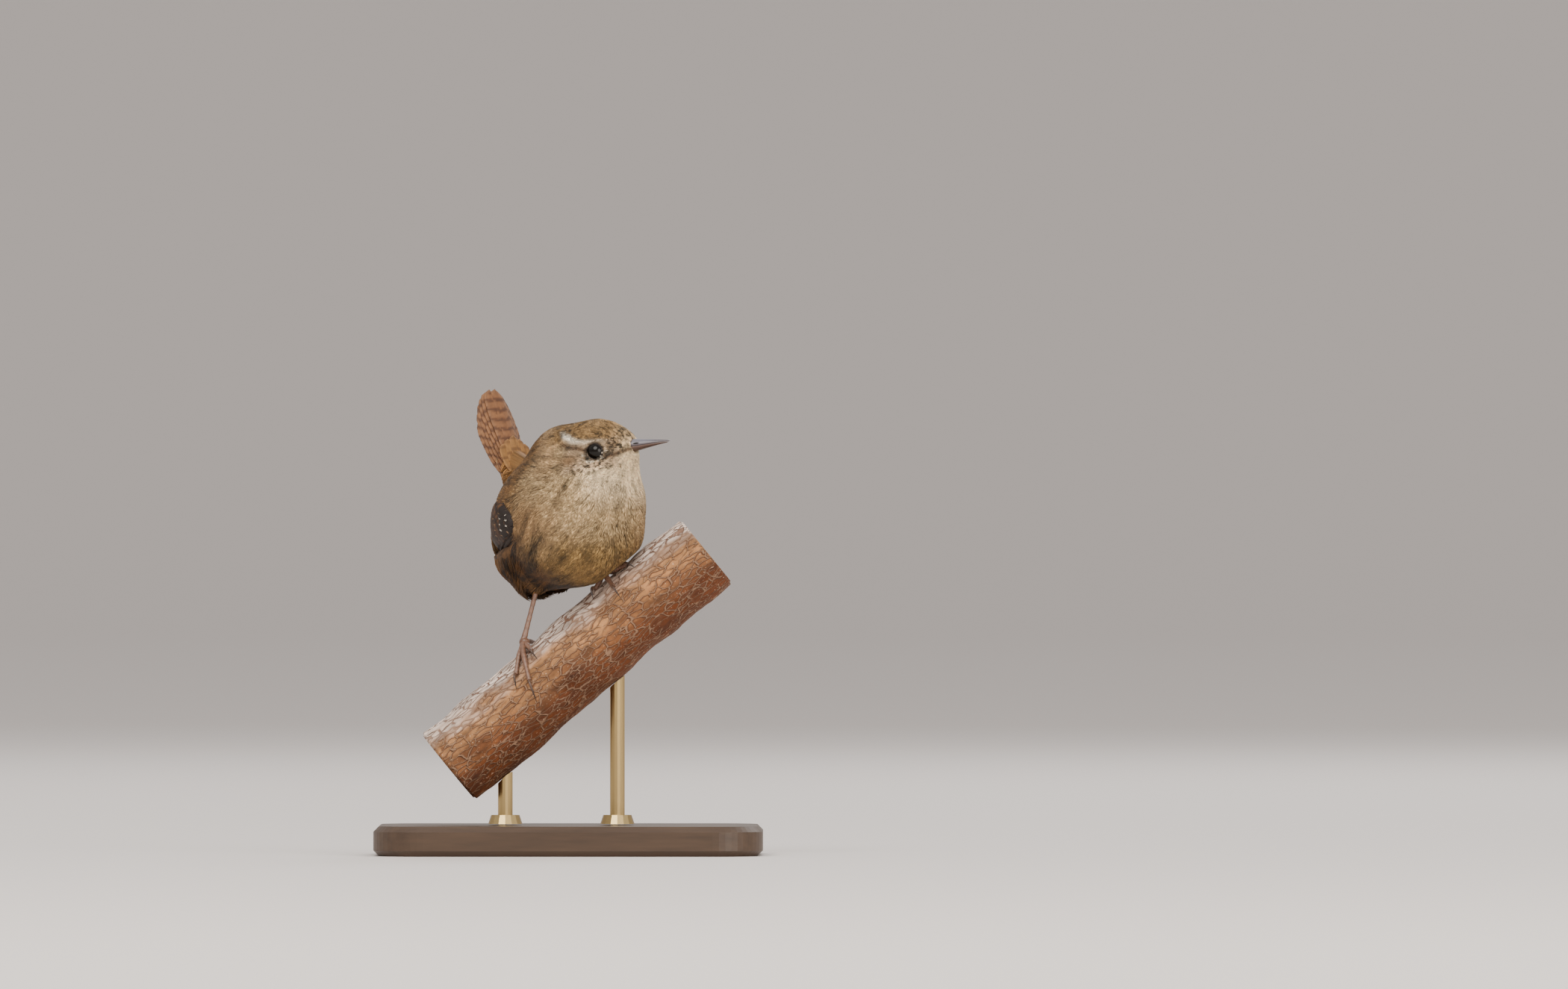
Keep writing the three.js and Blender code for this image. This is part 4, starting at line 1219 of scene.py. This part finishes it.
def make_perch():
    """The branch, with relief, and with painted light on its top and painted shade on its lower side. Its
    Tint's alpha says how far each point lies out of the painted light on the top.
    """
    rows, columns = 330, 240
    girth, stretch = 11, 0.34
    along = np.linspace(PERCH["from"], PERCH["to"], rows)[:, None]
    around = (np.arange(columns) * 360 / columns)[None]
    turn = np.radians(around)
    local = (along * stretch, girth * np.cos(turn), girth * np.sin(turn))
    local = np.stack(np.broadcast_arrays(*local), -1)
    relief = 0.5 * grain(local, 2.4, 61) + 0.3 * grain(local, 0.9, 71) - 0.15
    edge = -0.7 * (step(3, 0, np.minimum(along - PERCH["from"], PERCH["to"] - along)) > 0.97)
    rings = on_perch(along, around, relief * 0.5 + edge)
    # Painted light and shade round the branch: pale on the top, the bark's own colour on the sides and dark
    # below
    lit = np.cos(np.radians(around + 4)) + 0.4 * grain(local, 4, 81)
    out_of_painted_light = step(0.86, 0.3, lit)
    tint = blend_to(BARK_PAINTED_LIGHT, BARK_MIDDLE, out_of_painted_light)
    tint = blend_to(tint, BARK_PAINTED_SHADE, step(0.35, -0.6, lit))
    tint = tint * (1 + 0.8 * grain(local, 2.2, 91) + 0.4 * grain(local, 9, 95))[..., None]
    points, faces = tube(rings)
    rgba = np.concatenate([tint, out_of_painted_light[..., None]], axis=-1).reshape(-1, 4)
    tints = np.concatenate([rgba, [[*CUT_END, 0]] * 2])
    branch = build_mesh("branch", points, faces, tints, world=True)
    finish_piece(branch, BARK, "perch", "perch")


# Legs and feet

# On the branch, a place is how far along and how far around. The heel is in the bird's frame, and each
# toe gives the place of its end and then that of its claw's tip
FEET = {
    "right": {
        "heel": (-6.0, -5.4, -17.5),
        "ball": (-5.1, 14),
        "inner": (-5, 38, -5.2, 55),
        "middle": (-10.4, 70, -12.6, 98),
        "outer": (-12.2, 50, -14.6, 67),
        "hind": (-3, -32, -2, -60),
    },
    "left": {
        "heel": (6, 7.2, -7.5),
        "ball": (23, 12),
        "inner": (18.6, 21, 16.4, 34),
        "middle": (22.8, 46, 22.4, 66),
        "outer": (28.8, 27, 30.6, 43),
        "hind": (26.8, -40, 26.4, -68),
    },
}
TOES = ("inner", "middle", "outer", "hind")
TOE_ROOT, TOE_TIP, BALL = 0.84, 0.6, 1.45
GAP = 0.3
TOE_SCALES, SHANK_SCALES = 9, 8
SHANK_RADII = ([0, 0.5, 0.85, 1], [0.75, 0.62, 0.72, 0.95])
# The legs' colour: their own colour, made darker in part as painted shade for the left foot in the belly's
# shadow, though both feet use it
LEG_AND_PAINTED_SHADE = shade(106, 76, 60)
# Painted light for the lit side of the shanks and toes
LEG_PAINTED_LIGHT = shade(146, 112, 94)
LEG_DARK = shade(66, 46, 36)
CLAW_BASE = shade(92, 70, 58)
CLAW_TIP = shade(42, 32, 28)


def outward(path):
    middle = path - PERCH_MIDDLE
    return unit(middle - dot(middle, PERCH_ALONG)[:, None] * PERCH_ALONG)


def scaled_tint(t, scales):
    """Leg colour with dark lines between the scales, and how strong the line is."""
    line = bell((t * scales % 1 - 0.5) / 0.16)
    return blend_to(LEG_AND_PAINTED_SHADE, LEG_DARK, line * 0.75), line


def limb(path, radius, up, scales):
    """A scaled tube over a path, with painted light: paler on the side that up points to."""
    sides = 18
    t = np.linspace(0, 1, len(path))
    tint, line = scaled_tint(t, scales)
    size = radius * (1 - 0.06 * line)
    rings = round_rings(path, size, size, up, sides)
    points, faces = tube(rings)
    angle = np.linspace(0, 2 * np.pi, sides, endpoint=False)
    # Painted light on the side that up points to: the front of each shank and the top of each toe
    top = step(0.2, 1, np.sin(angle))[None, :, None]
    spread = mix(tint[:, None], LEG_PAINTED_LIGHT, top * 0.45).reshape(-1, 3)
    return points, faces, np.concatenate([spread, tint[:1], tint[-1:]])


def toe_path(ball_at, toe):
    """The middle of a toe that lies along the bark, its radius, and how far along it each point is."""
    t = np.linspace(0, 1, 60)
    radius = mix(TOE_ROOT, TOE_TIP, t)
    lift = radius + GAP + 0.9 * (1 - t) ** 2
    return on_perch(mix(ball_at[0], toe[0], t), mix(ball_at[1], toe[1], t), lift), radius, t


def make_feet():
    for side, foot in FEET.items():
        ball_at = foot["ball"]
        middle = on_perch(*ball_at, BALL + GAP + 0.1)
        parts = [ball(middle, vec(1, 1, 1) * BALL, np.eye(3), LEG_AND_PAINTED_SHADE, 20, 24)]
        for toe_name in TOES:
            toe = foot[toe_name]
            path, radius, t = toe_path(ball_at, toe)
            pads = 1 + 0.1 * np.cos(4 * np.pi * t)
            parts.append(limb(path, radius * pads, outward(path), TOE_SCALES))
            claw = make_claw(toe)
            name = "claw_" + side + "_" + toe_name
            thing = build_mesh(side + "_" + toe_name + "_claw", *claw, world=True)
            finish_piece(thing, HORN, name, name)
        toes = build_mesh(side + "_toes", *merge(parts), world=True)
        finish_piece(toes, SCALES, "foot_" + side, "foot_" + side)
        shank = build_mesh(side + "_shank", *shank_parts(foot), world=True)
        finish_piece(shank, SCALES, "tarsus_" + side, "tarsus_" + side)


def shank_parts(foot):
    """The scaled shank between the heel and the ball of the foot."""
    top = to_world(vec(*foot["heel"]))
    low = on_perch(*foot["ball"], BALL + GAP + 0.6)
    t = np.linspace(0, 1, 90)[:, None]
    radius = np.interp(t[:, 0], *SHANK_RADII)
    return limb(mix(top, low, t), radius, vec(0, -1, 0), SHANK_SCALES)


def make_claw(toe):
    t = np.linspace(0, 1, 30)
    lift = mix(TOE_TIP + GAP, GAP + 0.05, t) + 1.5 * np.sin(np.pi * t ** 0.8) * (1 - 0.45 * t)
    path = on_perch(mix(toe[0], toe[2], t), mix(toe[1], toe[3], t), lift)
    size = mix(0.55, 0.06, t ** 1.2)
    rings = round_rings(path, size * 0.75, size, outward(path), 14)
    points, faces = tube(rings)
    tint = np.repeat(mix(CLAW_BASE, CLAW_TIP, step(0.1, 0.8, t)[:, None]), 14, axis=0)
    return points, faces, np.concatenate([tint, tint[:1], tint[-1:]])


# Stand, floor, light and camera

BRASS = (0.55, 0.40, 0.18)
FLOOR_COLOUR = (0.74, 0.69, 0.66)
AIR_COLOUR = (0.95, 0.92, 0.90, 1)
AIR_STRENGTH = 0.75
# Name, place and size in metres, watts and colour
LAMPS = [
    ("key", (-0.5, -1.7, 2.0), 2.0, 62, (1, 0.96, 0.9)),
    ("fill", (1.5, -1.7, 0.7), 1.6, 30, (1, 0.94, 0.87)),
    ("rim", (0.6, 1.7, 1.6), 1.2, 22, (1, 1, 1)),
]
LAMPS_AIM = vec(0, 0, 0.09)
CAMERA = {"at": (0.0576, -5.83, 0.0965), "lens": 500, "sensor": 36, "clip": (0.1, 60)}


def dress_stand():
    wood = wood_material()
    brass = plain("brass", BRASS, 0.28, 1.0)
    looks = {"stand_base": wood, "stand_rod_1": brass, "stand_rod_2": brass}
    for name, material in looks.items():
        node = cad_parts[name]
        node.data.materials.clear()
        node.data.materials.append(material)


def make_floor():
    """A pale floor that curves up far away on every side. Its sizes are in metres."""
    flat, curve, spokes = 9, 5, 96
    lean = np.linspace(0.1, np.pi / 2, 24)
    reach = np.concatenate([[0.02, 0.5, 2, 6, flat], flat + curve * np.sin(lean)]) / MM
    rise = np.concatenate([[0, 0, 0, 0, 0], curve - curve * np.cos(lean)]) / MM
    angle = np.linspace(0, 2 * np.pi, spokes, endpoint=False)
    rings = np.stack([
        reach[:, None] * np.cos(angle), reach[:, None] * np.sin(angle), rise[:, None] + 0 * angle
    ], axis=-1)
    points = np.concatenate([rings.reshape(-1, 3), [vec(0, 0, 0)]])
    middle = fan(len(reach) * spokes, np.arange(spokes))
    quads = grid_faces(len(reach), spokes, True)[:, ::-1]
    floor = build_mesh("floor", points, [quads, middle], world=True)
    floor.data.materials.append(plain("floor", FLOOR_COLOUR, 0.9))


def add_lamp(name, place, size, watts, colour):
    light = bpy.data.lights.new(name, "AREA")
    light.shape = "DISK"
    light.size = size
    light.energy = watts
    light.color = colour
    lamp = bpy.data.objects.new(name, light)
    bpy.context.scene.collection.objects.link(lamp)
    lamp.location = place
    way = LAMPS_AIM - vec(*place)
    lamp.rotation_mode = "QUATERNION"
    lamp.rotation_quaternion = Vector(way).to_track_quat("-Z", "Y")


def make_stage():
    make_floor()
    for lamp in LAMPS:
        add_lamp(*lamp)
    world = bpy.data.worlds.new("studio")
    world.use_nodes = True
    background = world.node_tree.nodes["Background"]
    background.inputs["Color"].default_value = AIR_COLOUR
    background.inputs["Strength"].default_value = AIR_STRENGTH
    bpy.context.scene.world = world


def make_camera():
    camera = bpy.data.cameras.new("camera")
    camera.lens = CAMERA["lens"]
    camera.sensor_width = CAMERA["sensor"]
    camera.clip_start, camera.clip_end = CAMERA["clip"]
    thing = bpy.data.objects.new("camera", camera)
    bpy.context.scene.collection.objects.link(thing)
    thing.location = CAMERA["at"]
    thing.rotation_euler = (np.pi / 2, 0, 0)
    bpy.context.scene.camera = thing


make_skin()
make_coat()
make_tail()
make_wings()
make_bill()
make_eyes()
make_perch()
make_feet()
dress_stand()
make_stage()
make_camera()
